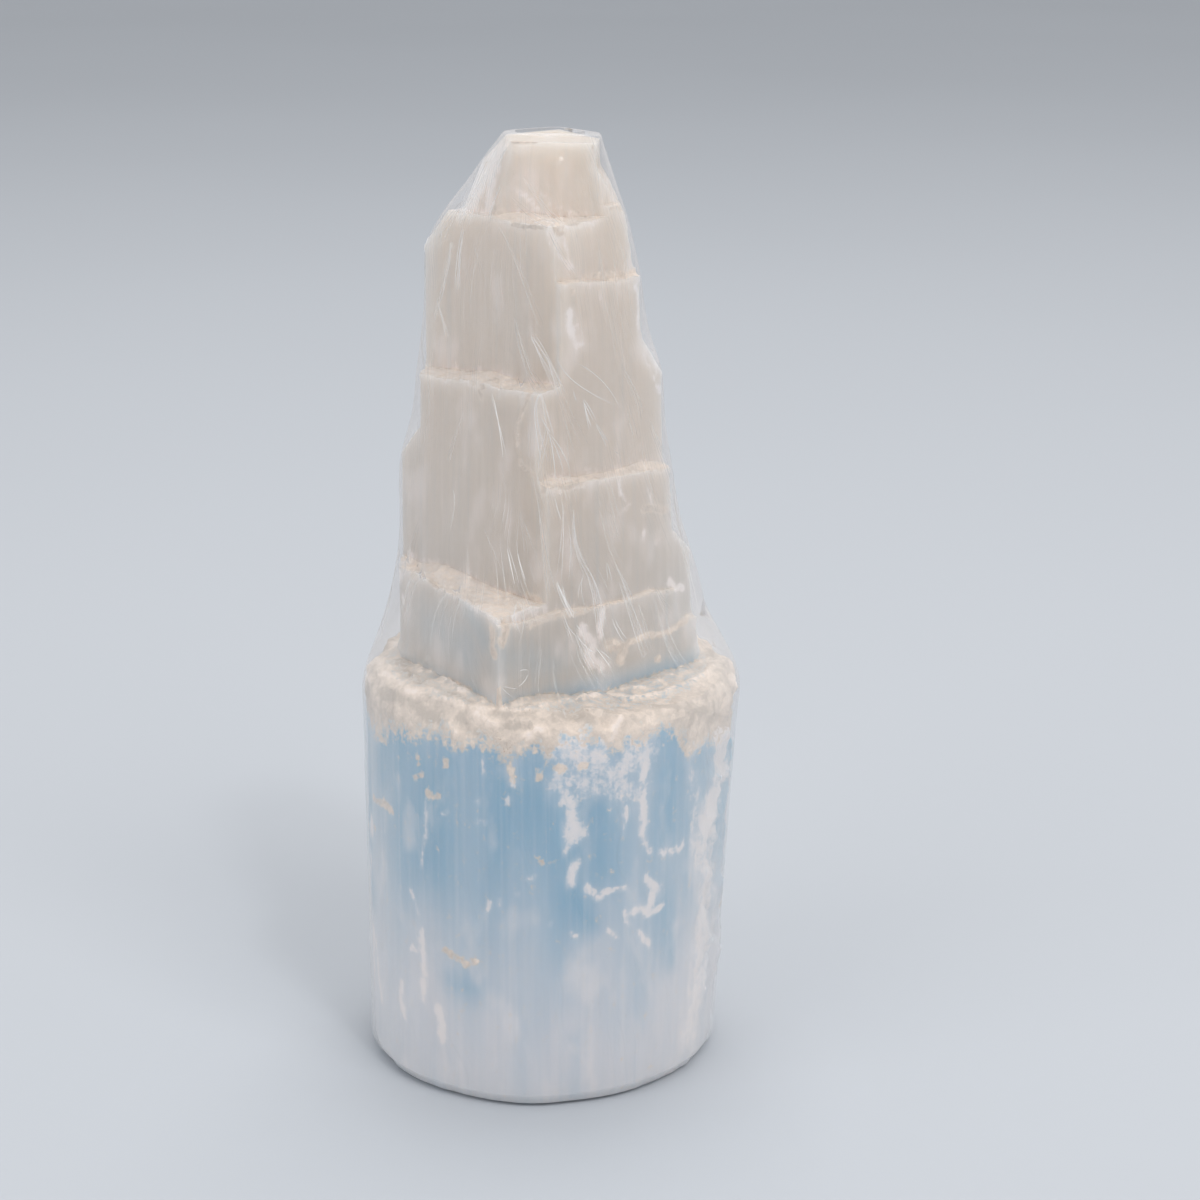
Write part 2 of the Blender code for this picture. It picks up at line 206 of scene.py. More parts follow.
# The crust's folds: painted darker as shade, and not sunk.
FOLDS_PAINTED_SHADE = (
    Mark(0.9, ((398, 659), (409, 673), (422, 684))),
    Mark(0.6, ((446, 693), (458, 695), (470, 701))),
    Mark(0.9, ((383, 692), (398, 697), (411, 703))),
    Mark(0.8, ((416, 706), (426, 716), (442, 720))),
    Mark(0.9, ((462, 718), (474, 733))),
    Mark(0.3, ((495, 712), (513, 714), (531, 712))),
    Mark(0.6, ((509, 726), (531, 727))),
    Mark(0.4, ((606, 682), (630, 684), (647, 680), (660, 677))),
    Mark(0.4, ((550, 708), (576, 710), (593, 707))),
    Mark(0.3, ((607, 702), (630, 704), (641, 704))),
    Mark(0.3, ((711, 683), (714, 703), (712, 730), (706, 754))),
    Mark(0.9, ((690, 709), (705, 711))),
    Mark(0.8, ((653, 706), (677, 705))),
    Mark(0.7, ((566, 716), (590, 720))),
)
CLOUDS = (
    Mark(5.0, ((572, 745), (605, 770), (640, 758)), 0.7),
    Mark(3.4, ((562, 785), (600, 788), (640, 790)), 0.66),
    Mark(1.6, ((600, 790), (632, 788)), 0.6),
    Mark(1.3, ((643, 765), (644, 775))),
    Mark(0.8, ((569, 783), (569, 789), (562, 799))),
    Mark(2.1, ((571, 807), (574, 821), (577, 834))),
    Mark(1.2, ((573, 866), (571, 885))),
    Mark(0.6, ((626, 808), (626, 820), (626, 837))),
    Mark(0.8, ((644, 793), (645, 816), (643, 842), (651, 851))),
    Mark(0.8, ((662, 850), (677, 849), (683, 842))),
    Mark(0.8, ((589, 889), (598, 898), (608, 893))),
    Mark(0.5, ((614, 889), (628, 888))),
    Mark(1.1, ((646, 879), (656, 884), (651, 900), (646, 909))),
    Mark(0.8, ((633, 909), (649, 912), (662, 903))),
    Mark(0.7, ((625, 913), (631, 926))),
    Mark(0.5, ((608, 930), (616, 937))),
    Mark(0.9, ((642, 936), (649, 944))),
    Mark(0.5, ((573, 934), (577, 935))),
    Mark(0.4, ((551, 921), (552, 922))),
    Mark(0.3, ((384, 821), (384, 830))),
    Mark(0.3, ((425, 797), (426, 834), (422, 849), (421, 866))),
    Mark(0.3, ((441, 811), (448, 811))),
    Mark(0.4, ((478, 801), (481, 807))),
    Mark(0.3, ((478, 823), (485, 824))),
    Mark(0.4, ((509, 796), (509, 803))),
    Mark(0.6, ((512, 780), (512, 785))),
    Mark(0.3, ((529, 879), (534, 876))),
    Mark(0.4, ((518, 894), (518, 895))),
    Mark(0.3, ((499, 899), (499, 905))),
    Mark(0.4, ((488, 903), (487, 911))),
    Mark(0.3, ((482, 761), (482, 774))),
    Mark(0.5, ((371, 849), (372, 877))),
    Mark(1.0, ((376, 937), (378, 959), (381, 1000))),
    Mark(0.9, ((419, 930), (421, 950), (425, 1000))),
    Mark(0.6, ((411, 951), (418, 950))),
    Mark(0.3, ((409, 889), (418, 913))),
    Mark(1.2, ((440, 1008), (441, 1035))),
    Mark(1.0, ((401, 985), (403, 1015))),
    Mark(4.2, ((722, 690), (721, 769), (714, 797), (707, 820), (707, 840))),
    Mark(4.2, ((707, 840), (708, 880), (702, 930), (697, 977), (692, 1030)), 0.8),
    Mark(1.6, ((691, 772), (694, 800), (693, 850)), 0.6),
    Mark(2.0, ((696, 718), (697, 745)), 0.7),
    Mark(3.6, ((494, 160), (480, 183), (470, 205))),
    Mark(1.6, ((503, 148), (492, 180), (488, 210))),
    Mark(0.9, ((462, 200), (470, 208), (486, 212))),
    Mark(0.5, ((516, 190), (539, 210), (555, 223))),
    Mark(0.5, ((519, 210), (541, 223))),
    Mark(0.3, ((533, 184), (560, 211), (574, 223))),
    Mark(0.3, ((547, 233), (559, 256), (570, 267))),
    Mark(0.3, ((560, 233), (567, 253), (574, 272))),
    Mark(0.3, ((600, 287), (604, 307))),
    Mark(1.1, ((572, 316), (573, 341))),
    Mark(0.4, ((577, 341), (583, 344))),
    Mark(0.5, ((634, 284), (639, 300), (639, 329), (643, 351), (653, 378))),
    Mark(0.8, ((658, 389), (662, 402), (664, 424))),
    Mark(0.3, ((617, 480), (621, 493), (629, 505), (621, 514))),
    Mark(0.3, ((647, 490), (651, 504))),
    Mark(0.7, ((646, 532), (645, 538))),
    Mark(0.5, ((656, 545), (661, 542))),
    Mark(0.9, ((671, 584), (683, 589))),
    Mark(1.2, ((583, 632), (593, 643), (589, 656), (600, 664))),
    Mark(0.9, ((601, 614), (601, 636))),
    Mark(1.3, ((408, 560), (400, 578))),
    Mark(0.9, ((404, 600), (397, 630))),
)
# Clearer stone, in a blue that is partly painted reflection.
CLEARINGS = (
    Mark(8.0, ((425, 770), (430, 860)), 0.9),
    Mark(3.6, ((388, 745), (384, 775)), 0.7),
    Mark(3.2, ((575, 900), (590, 922)), 0.8),
    Mark(4.0, ((665, 745), (672, 830)), 0.7),
    Mark(4.0, ((595, 810), (605, 870)), 0.6),
    Mark(3.2, ((665, 900), (672, 960)), 0.6),
    Mark(3.0, ((450, 980), (480, 990)), 0.5),
    Mark(2.2, ((573, 1040), (574, 1095)), 0.4),
    Mark(2.4, ((575, 735), (569, 742)), 0.6),
    Mark(4.6, ((505, 655), (560, 665)), 0.8),
    Mark(5.0, ((430, 625), (465, 650)), 0.8),
    Mark(2.8, ((470, 610), (485, 640)), 0.9),
)
STAINS = (
    Mark(0.4, ((645, 471), (647, 471))),
    Mark(0.9, ((500, 738), (508, 750))),
    Mark(0.3, ((696, 746), (698, 746))),
)

# A crease of the film, from its upper end: how many lines it is made of, how far apart they
# end in millimetres, how strongly they are painted as pale glints, and the way they take
# in pixels.
Crease = namedtuple("Crease", "lines fan strength path")

CREASES = (
    Crease(2, 0.5, 0.5, ((509, 144), (499, 160), (491, 180))),
    Crease(2, 0.7, 0.6, ((500, 186), (493, 204), (489, 221))),
    Crease(3, 2.0, 0.5, ((486, 172), (470, 200), (457, 216))),
    Crease(3, 2.2, 0.4, ((463, 200), (453, 214), (438, 242))),
    Crease(2, 1.0, 0.35, ((498, 230), (516, 263), (542, 326))),
    Crease(3, 1.2, 0.4, ((522, 180), (541, 205), (560, 222))),
    Crease(2, 1.6, 0.35, ((512, 196), (533, 216), (552, 227))),
    Crease(3, 1.6, 0.3, ((549, 234), (561, 256), (574, 272))),
    Crease(2, 1.2, 0.3, ((473, 245), (479, 262), (484, 287))),
    Crease(4, 2.6, 0.35, ((515, 320), (524, 356), (541, 390))),
    Crease(6, 2.4, 0.6, ((532, 335), (546, 360), (562, 394))),
    Crease(2, 0.8, 0.75, ((546, 356), (553, 376), (561, 396))),
    Crease(3, 3.0, 0.3, ((560, 394), (570, 420), (582, 450))),
    Crease(1, 0.0, 0.9, ((557, 353), (576, 381), (618, 410))),
    Crease(1, 0.0, 0.9, ((574, 362), (603, 382), (619, 407))),
    Crease(2, 0.4, 0.9, ((491, 397), (498, 422), (505, 454))),
    Crease(2, 1.0, 0.8, ((541, 391), (536, 415), (545, 466))),
    Crease(2, 1.2, 1.0, ((541, 391), (546, 412), (552, 440))),
    Crease(1, 0.0, 1.0, ((541, 418), (547, 428), (550, 431))),
    Crease(3, 3.0, 0.8, ((549, 432), (557, 449), (564, 476))),
    Crease(2, 1.0, 0.7, ((547, 432), (543, 449), (540, 467))),
    Crease(1, 0.0, 0.9, ((574, 389), (575, 396), (576, 402))),
    Crease(2, 0.9, 1.0, ((584, 400), (589, 409), (594, 420))),
    Crease(2, 0.5, 1.0, ((584, 402), (587, 416), (590, 426))),
    Crease(4, 0.9, 0.5, ((596, 424), (602, 434), (607, 444))),
    Crease(1, 0.0, 0.5, ((614, 449), (617, 452), (619, 455))),
    Crease(1, 0.0, 0.5, ((451, 490), (454, 503), (451, 528))),
    Crease(3, 1.6, 0.35, ((622, 365), (636, 396), (641, 420))),
    Crease(2, 1.6, 0.35, ((628, 408), (632, 422), (636, 436))),
    Crease(4, 2.6, 0.4, ((650, 422), (660, 448), (672, 484))),
    Crease(2, 1.0, 0.3, ((462, 413), (451, 449), (449, 462))),
    Crease(4, 4.0, 0.25, ((425, 395), (412, 424), (398, 458))),
    Crease(2, 1.2, 0.3, ((484, 528), (492, 550), (501, 574))),
    Crease(2, 0.9, 0.9, ((507, 548), (512, 566), (517, 584))),
    Crease(1, 0.0, 1.0, ((518, 554), (521, 566), (525, 580))),
    Crease(3, 1.8, 0.3, ((519, 515), (525, 534), (530, 552))),
    Crease(3, 1.8, 0.35, ((538, 500), (545, 560), (552, 594))),
    Crease(2, 0.7, 0.8, ((518, 605), (514, 618), (519, 632))),
    Crease(1, 0.0, 0.8, ((518, 605), (524, 618), (519, 641))),
    Crease(1, 0.0, 0.9, ((555, 499), (558, 511), (562, 520))),
    Crease(2, 0.8, 0.6, ((562, 503), (563, 530), (559, 581))),
    Crease(2, 0.5, 0.5, ((569, 526), (571, 551), (570, 578))),
    Crease(4, 1.2, 1.0, ((557, 582), (564, 600), (573, 618))),
    Crease(5, 1.4, 0.6, ((574, 512), (576, 545), (588, 575))),
    Crease(5, 2.4, 0.6, ((586, 568), (596, 592), (603, 632))),
    Crease(2, 1.0, 0.5, ((584, 574), (580, 589), (582, 604))),
    Crease(2, 0.9, 0.6, ((606, 564), (608, 571), (610, 580))),
    Crease(3, 1.4, 0.6, ((616, 567), (625, 585), (632, 603))),
    Crease(3, 2.0, 0.6, ((621, 585), (631, 612), (646, 656))),
    Crease(2, 1.2, 0.4, ((638, 602), (644, 622), (650, 647))),
    Crease(3, 2.6, 0.35, ((655, 586), (662, 600), (671, 616))),
    Crease(2, 1.0, 0.9, ((613, 616), (619, 630), (626, 643))),
    Crease(2, 1.2, 1.0, ((596, 649), (603, 655), (612, 664))),
    Crease(3, 1.8, 0.7, ((576, 635), (583, 648), (590, 656))),
    Crease(3, 1.4, 0.7, ((564, 618), (568, 628), (574, 640))),
    Crease(1, 0.0, 1.0, ((577, 622), (579, 627), (581, 632))),
    Crease(1, 0.0, 0.9, ((599, 666), (601, 671), (605, 677))),
    Crease(4, 3.0, 0.4, ((667, 494), (681, 530), (692, 570))),
    Crease(4, 2.4, 0.6, ((668, 510), (684, 552), (699, 616))),
    Crease(3, 4.0, 0.35, ((699, 590), (712, 612), (728, 640))),
    Crease(1, 0.0, 0.6, ((641, 650), (644, 656), (647, 652))),
    Crease(1, 0.0, 0.7, ((520, 674), (524, 671), (528, 668))),
    Crease(1, 0.0, 0.9, ((519, 684), (524, 681), (528, 676))),
    Crease(2, 2.0, 0.5, ((502, 687), (508, 691), (514, 693))),
    Crease(2, 1.0, 0.3, ((609, 512), (613, 524), (617, 538))),
    Crease(2, 2.0, 0.25, ((420, 520), (412, 548), (404, 575))),
)

# Where the film is drawn into many fine wrinkles, painted as pale glint lines.
PAINTED_WRINKLE_GLINTS = (
    Mark(2.6, ((500, 150), (480, 185), (466, 210)), 1.0),
    Mark(1.0, ((530, 330), (548, 365), (560, 392)), 0.5),
    Mark(0.8, ((541, 395), (546, 425), (552, 465)), 0.5),
    Mark(0.8, ((576, 515), (579, 550), (590, 580), (601, 610), (603, 635)), 0.4),
    Mark(0.6, ((560, 585), (572, 615)), 0.9),
    Mark(1.2, ((620, 575), (632, 605), (643, 640)), 0.35),
    Mark(0.9, ((578, 630), (590, 652), (608, 664)), 0.4),
    Mark(1.4, ((668, 500), (684, 555), (700, 615)), 0.5),
    Mark(1.6, ((425, 390), (405, 450)), 0.35),
    Mark(1.2, ((515, 190), (545, 220)), 0.4),
)


# Sizes and colours that a user would change


class CrystalSettings(bpy.types.PropertyGroup):
    """The crystal's grain, crust and colours."""

    fibre_depth: bpy.props.FloatProperty(
        name="Fibre depth",
        description="How far the column's fibres stand out",
        default=0.00035,
        unit="LENGTH",
    )
    crumb_depth: bpy.props.FloatProperty(
        name="Crumb depth",
        description="How far the crumbled crust stands out",
        default=0.0009,
        unit="LENGTH",
    )
    ridge_height: bpy.props.FloatProperty(
        name="Ridge height",
        description="How far the crust's pale ridges stand out",
        default=0.0006,
        unit="LENGTH",
    )
    rib_depth: bpy.props.FloatProperty(
        name="Rib depth",
        description="How far the broken band on the right of the column stands out",
        default=0.0048,
        unit="LENGTH",
    )
    peak_colour: bpy.props.FloatVectorProperty(
        name="Peak",
        description="The milky stone of the peak",
        subtype="COLOR",
        default=(0.755, 0.665, 0.57),
    )
    column_colour: bpy.props.FloatVectorProperty(
        name="Column",
        description="The milky stone at the foot of the column",
        subtype="COLOR",
        default=(0.74, 0.77, 0.82),
    )
    # A cool blue: partly the clearer stone's own tint, partly painted reflection.
    clear_stone_and_reflected_blue: bpy.props.FloatVectorProperty(
        name="Clear stone",
        description="The clearer stone, which looks cool and blue",
        subtype="COLOR",
        default=(0.21, 0.45, 0.61),
    )
    cloud_colour: bpy.props.FloatVectorProperty(
        name="Cloud",
        description="The white, split and hazy stone",
        subtype="COLOR",
        default=(0.96, 0.885, 0.845),
    )
    crust_colour: bpy.props.FloatVectorProperty(
        name="Crust",
        description="The crumbled crust",
        subtype="COLOR",
        default=(0.92, 0.795, 0.68),
    )
    # Also the dark end of the crust's tone, where the folds get painted shade.
    gap_colour: bpy.props.FloatVectorProperty(
        name="Gaps",
        description="The greyer stone between the crust's grains",
        subtype="COLOR",
        default=(0.57, 0.50, 0.43),
    )
    stain_colour: bpy.props.FloatVectorProperty(
        name="Stain",
        description="The small rusty stains",
        subtype="COLOR",
        default=(0.36, 0.24, 0.15),
    )


class FilmSettings(bpy.types.PropertyGroup):
    """The shrink film's size and creases."""

    gap: bpy.props.FloatProperty(
        name="Gap",
        description="How far the film stays clear of the stone",
        default=0.00022,
        unit="LENGTH",
    )
    thickness: bpy.props.FloatProperty(
        name="Thickness",
        description="The film's own thickness",
        default=0.00005,
        unit="LENGTH",
    )
    crease_width: bpy.props.FloatProperty(
        name="Crease width",
        description="The widest that a crease is",
        default=0.00016,
        unit="LENGTH",
    )
    flat_width: bpy.props.FloatProperty(
        name="Flat width",
        description="The sleeve's way round, laid flat and opened",
        default=0.252,
        unit="LENGTH",
    )
    flat_height: bpy.props.FloatProperty(
        name="Flat height",
        description="The sleeve's height, laid flat",
        default=0.200,
        unit="LENGTH",
    )
    tint: bpy.props.FloatVectorProperty(
        name="Tint",
        description="What the clear film lets through",
        subtype="COLOR",
        default=(0.985, 0.985, 0.99),
    )
    # The film's whitish, glossy colour, which also paints the glints on its creases and wrinkles.
    gloss_and_glint_colour: bpy.props.FloatVectorProperty(
        name="Gloss",
        description="The film where it shines or is creased",
        subtype="COLOR",
        default=(0.93, 0.92, 0.91),
    )


class StageSettings(bpy.types.PropertyGroup):
    """The floor, the camera and the lights."""

    floor_colour: bpy.props.FloatVectorProperty(
        name="Floor",
        description="The pale floor",
        subtype="COLOR",
        default=(0.53, 0.56, 0.60),
    )
    world_light: bpy.props.FloatProperty(
        name="Room light",
        description="How bright the room is all round",
        default=0.68,
        min=0.0,
    )
    light_power: bpy.props.FloatProperty(
        name="Light power",
        description="How strong the soft lights are",
        default=1.0,
        min=0.0,
        subtype="FACTOR",
    )


# Shader sums


class Value:
    """A socket of a shader. Sums on it add Math nodes, and numbers alone stay numbers."""

    def __init__(self, tree, socket):
        self.tree = tree
        self.socket = socket

    def math(self, operation, *values):
        return add_node(self.tree, "ShaderNodeMath", {"operation": operation}, list(values))

    def __add__(self, other):
        return self.math("ADD", self, other)

    __radd__ = __add__

    def __sub__(self, other):
        return self.math("SUBTRACT", self, other)

    def __rsub__(self, other):
        return self.math("SUBTRACT", other, self)

    def __mul__(self, other):
        return self.math("MULTIPLY", self, other)

    __rmul__ = __mul__

    def __truediv__(self, other):
        return self.math("DIVIDE", self, other)

    def larger(self, other):
        return self.math("MAXIMUM", self, other)

    def step(self, low, high):
        """0 up to low, 1 from high on, and smooth in between."""
        places = {"Value": self, "From Min": low, "From Max": high}
        return add_node(
            self.tree, "ShaderNodeMapRange", {"interpolation_type": "SMOOTHSTEP"}, places
        )


def add_node(tree, kind, settings=None, sockets=None, output=0):
    """Adds a node: first its settings, then the values or links of its sockets."""
    node = tree.nodes.new(kind)
    for name, value in (settings or {}).items():
        setattr(node, name, value)
    if isinstance(sockets, list):
        sockets = dict(enumerate(sockets))
    for name, value in (sockets or {}).items():
        if isinstance(name, int):
            socket = node.inputs[name]
        else:
            socket = next(s for s in node.inputs if name in (s.identifier, s.name) and s.enabled)
        if isinstance(value, Value):
            tree.links.new(value.socket, socket)
        elif hasattr(value, "__len__") and len(value) == 3 and socket.type == "RGBA":
            socket.default_value = (*value, 1.0)
        else:
            socket.default_value = value
    return Value(tree, node.outputs[output]) if node.outputs else None


def mix_colour(tree, factor, first, second):
    places = {"Factor_Float": factor, "A_Color": first, "B_Color": second}
    return add_node(tree, "ShaderNodeMix", {"data_type": "RGBA"}, places, output=2)


def scaled(tree, place, scale):
    """A place, stretched by its own scale along each axis."""
    return add_node(tree, "ShaderNodeVectorMath", {"operation": "MULTIPLY"}, [place, scale])


def grain(tree, place, across, along=None, detail=3.0, roughness=0.5):
    """Noise from 0 to 1 whose lumps are this many millimetres across, and along Z."""
    along = across if along is None else along
    stretched = scaled(tree, place, (1 / (across * MM), 1 / (across * MM), 1 / (along * MM)))
    sockets = {"Vector": stretched, "Scale": 1.0, "Detail": detail, "Roughness": roughness}
    return add_node(tree, "ShaderNodeTexNoise", {}, sockets)


def attribute(tree, name):
    return add_node(tree, "ShaderNodeAttribute", {"attribute_name": name}, output=2)


def bump(tree, height, depth):
    """A Normal for relief that is this many millimetres high where height goes from 0 to 1."""
    sockets = {"Strength": 1.0, "Distance": depth * MM, "Height": height}
    return add_node(tree, "ShaderNodeBump", {}, sockets)


def new_material(name):
    material = bpy.data.materials.new(name)
    material.use_nodes = True
    material.node_tree.nodes.clear()
    return material, material.node_tree


def finish_material(tree, surface):
    add_node(tree, "ShaderNodeOutputMaterial", {}, {"Surface": surface})


# Modelling by hand


def select_only(*items):
    if bpy.context.mode != "OBJECT":
        bpy.ops.object.mode_set(mode="OBJECT")
    bpy.ops.object.select_all(action="DESELECT")
    for item in items:
        item.select_set(True)
    bpy.context.view_layer.objects.active = items[0]


def add_modifier(piece, kind, **settings):
    """Adds a modifier, sets it and applies it."""
    select_only(piece)
    bpy.ops.object.modifier_add(type=kind)
    modifier = piece.modifiers[-1]
    for name, value in settings.items():
        setattr(modifier, name, value)
    bpy.ops.object.modifier_apply(modifier=modifier.name)


def merged_copy(node, name):
    """A copy of a CAD node, its loose triangles merged into one skin."""
    piece = bpy.data.objects.new(name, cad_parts[node].data.copy())
    bpy.context.scene.collection.objects.link(piece)
    piece.data.materials.clear()
    select_only(piece)
    bpy.ops.object.mode_set(mode="EDIT")
    bpy.ops.mesh.select_all(action="SELECT")
    bpy.ops.mesh.remove_doubles(threshold=WELD)
    bpy.ops.object.mode_set(mode="OBJECT")
    return piece


def read_vertices(mesh, what="co"):
    """One row of three numbers for each vertex: its place, or its normal."""
    rows = mesh.vertices if what == "co" else mesh.vertex_normals
    values = np.empty(len(mesh.vertices) * 3, np.float32)
    rows.foreach_get("co" if what == "co" else "vector", values)
    return values.reshape(-1, 3).astype(float)


def group_of(piece, name, weights):
    """A vertex group with a weight for each vertex."""
    group = piece.vertex_groups.new(name=name)
    for index in np.flatnonzero(weights > 0.004):
        group.add([int(index)], float(weights[index]), "REPLACE")
    return group


def store(piece, name, values):
    """Keeps a number on each vertex, for the material to read."""
    held = piece.data.attributes.new(name, "FLOAT", "POINT")
    held.data.foreach_set("value", values.astype(np.float32))


def relief(piece, group, depth, across, along=None, kind="CLOUDS", **settings):
    """Raises and lowers a group of vertices by a procedural texture, stretched along Z."""
    along = across if along is None else along
    texture = bpy.data.textures.new(f"{group}_relief", kind)
    texture.noise_scale = 1.0
    for name, value in settings.items():
        setattr(texture, name, value)
    bpy.ops.object.empty_add(location=(0.0, 0.0, 0.0))
    helper = bpy.context.object
    helper.scale = (across * MM, across * MM, along * MM)
    bpy.context.view_layer.update()
    add_modifier(
        piece,
        "DISPLACE",
        texture=texture,
        texture_coords="OBJECT",
        texture_coords_object=helper,
        vertex_group=group,
        strength=depth,
        mid_level=0.5,
    )
    bpy.data.objects.remove(helper)
    bpy.data.textures.remove(texture)


# Places on the surface


def direction(facing):
    angle = math.radians(facing)
    return Vector((math.sin(angle), -math.cos(angle), 0.0))


def skin_of(piece):
    """What rays are cast at."""
    return BVHTree.FromObject(piece, bpy.context.evaluated_depsgraph_get())


def seen_at(skin, pixel):
    """The place on a piece that a pixel of the photograph shows, or None past its outline."""
    pitch = math.radians(CAMERA_PITCH)
    ahead = Vector((0.0, math.sin(pitch), -math.cos(pitch)))
    up = Vector((0.0, math.cos(pitch), math.sin(pitch)))
    x, y = (value - 0.5 * PHOTO_SIDE for value in pixel)
    ray = ahead * (CAMERA_LENS / CAMERA_SENSOR * PHOTO_SIDE) + Vector((x, 0.0, 0.0)) - up * y
    return skin.ray_cast(Vector(CAMERA_PLACE), ray.normalized())[0]


def faced_at(skin, place):
    """The place on a piece at a facing and a height, seen from outside."""
    facing, height = place
    outward = direction(facing)
    start = outward * (OUTSIDE_ALL * MM) + Vector((0.0, 0.0, height * MM))
    return skin.ray_cast(start, -outward)[0]


def laid_on(skin, marks, find=seen_at):
    """Marks whose places are points on the piece, in millimetres."""
    laid = []
    for mark in marks:
        hits = [find(skin, place) for place in mark.path]
        path = [np.array(hit) / MM for hit in hits if hit is not None]
        if path:
            laid.append(mark._replace(path=path))
    return laid


class Surface:
    """Where each vertex of a piece lies: its facing, its distance from the axis and its height."""

    def __init__(self, piece):
        self.mesh = piece.data
        self.place = read_vertices(piece.data) / MM
        self.normal = read_vertices(piece.data, "normal")
        x, y, self.height = self.place.T
        self.facing = np.degrees(np.arctan2(x, -y))
        self.radius = np.hypot(x, y)

    def distance(self, path, drift):
        """How far each vertex is from a line through points, after its drift."""
        nearest = np.full(len(self.height), np.inf)
        for start, end in zip(path, path[1:] or path):
            run = end - start
            away = self.place + drift - start
            share = np.clip(away @ run / max(run @ run, 1e-9), 0.0, 1.0)
            away -= share[:, None] * run
            nearest = np.minimum(nearest, np.sqrt((away * away).sum(axis=1)))
        return nearest

    def marked(self, marks, raggedness=1.0, along_fibres=0.0):
        """1 in the middle of a mark, a half at its ragged edge, and 0 well outside it."""
        found = np.zeros(len(self.height))
        coarse = 1.8 * self.wander(4.2, 7.0, 3.1) + 1.1 * self.wander(1.5, 2.6, 29.3)
        split = np.zeros((len(self.height), 3))
        split[:, 2] = along_fibres * self.noise(1.7, 60.0, 53.0)
        for mark in marks:
            wild = raggedness * min(1.0, 0.20 + mark.reach / 3.0)
            reach = max(mark.reach, LEAST_REACH)
            strength = mark.strength * min(1.0, 0.35 + 0.65 * mark.reach / LEAST_REACH)
            away = self.distance(mark.path, wild * (coarse + split))
            found = np.maximum(found, strength * (1.0 - away / (2.0 * reach)))
        return np.clip(found, 0.0, 1.0)

    def spread(self, values, rounds):
        """The same values, each averaged with its neighbours' over and over."""
        ends = np.empty(len(self.mesh.edges) * 2, np.int32)
        self.mesh.edges.foreach_get("vertices", ends)
        first, second = ends.reshape(-1, 2).T
        count = np.bincount(np.concatenate([first, second]), minlength=len(values))
        for _ in range(rounds):
            total = np.bincount(first, weights=values[second], minlength=len(values))
            total += np.bincount(second, weights=values[first], minlength=len(values))
            values = 0.5 * values + 0.5 * total / np.maximum(count, 1)
        return values

    def stretched(self, across, along, seed):
        along = across if along is None else along
        return self.place * np.array([1.0 / across, 1.0 / across, 1.0 / along]) + seed

    def noise(self, across, along=None, seed=0.0, octaves=1):
        """Noise from about -1 to 1 whose lumps are this many millimetres across, and along Z."""
        rows = self.stretched(across, along, seed)
        return np.array([noise.fractal(Vector(row), 1.0, 2.0, octaves) for row in rows])

    def wander(self, across, along=None, seed=0.0):
        """A wandering direction at each vertex, of the same kind."""
        rows = self.stretched(across, along, seed)
        return np.array([noise.noise_vector(Vector(row)) for row in rows])


def smooth_step(values, low, high):
    share = np.clip((values - low) / (high - low), 0.0, 1.0)
    return share * share * (3.0 - 2.0 * share)


def all_marks(skin, seen, hidden, chance):
    """The marks that the photograph shows, and more of them on the sides out of sight."""
    marks = []
    for _ in range(hidden.count):
        facing = chance.uniform(*HIDDEN_SIDE)
        height = chance.uniform(*hidden.heights)
        turn = chance.uniform(-hidden.turn, hidden.turn)
        rise = chance.uniform(-hidden.rise, hidden.rise)
        path = ((facing, height), (facing + turn, height + rise))
        marks.append(Mark(chance.uniform(*hidden.reach), path))
    return laid_on(skin, seen) + laid_on(skin, marks, faced_at)


# The crystal


def crystal_fields(piece, surface):
    """Where the crust, the clouds, the clear stone and the stains are, from 0 to 1."""
    skin = skin_of(piece)
    chance = random.Random(4)
    crumbs = all_marks(skin, CRUMBS, HIDDEN_CRUMBS, chance)
    clouds = all_marks(skin, CLOUDS, HIDDEN_CLOUDS, chance)
    clear = all_marks(skin, CLEARINGS, HIDDEN_CLEARINGS, chance)
    ridges = all_marks(skin, RIDGES_PAINTED_LIGHT, HIDDEN_RIDGES_PAINTED_LIGHT, chance)
    folds = all_marks(skin, FOLDS_PAINTED_SHADE, HIDDEN_FOLDS_PAINTED_SHADE, chance)
    on_rim = (surface.radius > RIM_RADIUS) | (surface.height < SHOULDER)
    facings, heights = np.array(CRUST_EDGE).T
    edge = np.interp(surface.facing, facings, heights, period=360.0)
    veil = surface.noise(6.0, 12.0, 19.1, 4)
    above = surface.height - edge + 1.6 * veil
    rim = np.where(on_rim, np.clip(0.5 + above / 8.0, 0.0, 1.0), 0.0)
    rim = np.where(surface.height > SHOULDER_TOP, 0.0, rim)
    flat_on_top = smooth_step(surface.normal[:, 2], 0.30, 0.55)
    flat_on_top[surface.height > TOP_FACE] = 0.0
    slope_height, slope_facing = BARE_SLOPE
    flat_on_top[(surface.height > slope_height) & (surface.facing < slope_facing)] *= 0.35
    ledges = 0.52 * np.clip(surface.spread(flat_on_top, 1) * 1.1, 0.0, 1.0)
    ledges[surface.height < SHOULDER - 6.0] = 0.0
    crust = np.maximum(np.maximum(rim, ledges), surface.marked(crumbs, 0.8))
    crust[surface.height < FOOT] = 0.0
    haze = 0.5 * np.clip(surface.spread(flat_on_top, 26) * 2.0, 0.0, 1.0)
    haze[surface.height < SHOULDER_TOP] = 0.0
    return {
        "crust": crust,
        "cloud": np.maximum(surface.marked(clouds, 1.2, 2.5), haze),
        "clear": surface.marked(clear, 0.5),
        "stain": surface.marked(laid_on(skin, STAINS), 0.3),
        # Ridges painted lighter as highlight, less folds painted darker as shade.
        "tone": surface.marked(ridges, 0.5) - surface.marked(folds, 0.5),
        "slow": surface.noise(9.0, 34.0, 7.7, 2),
        "veil": veil,
    }


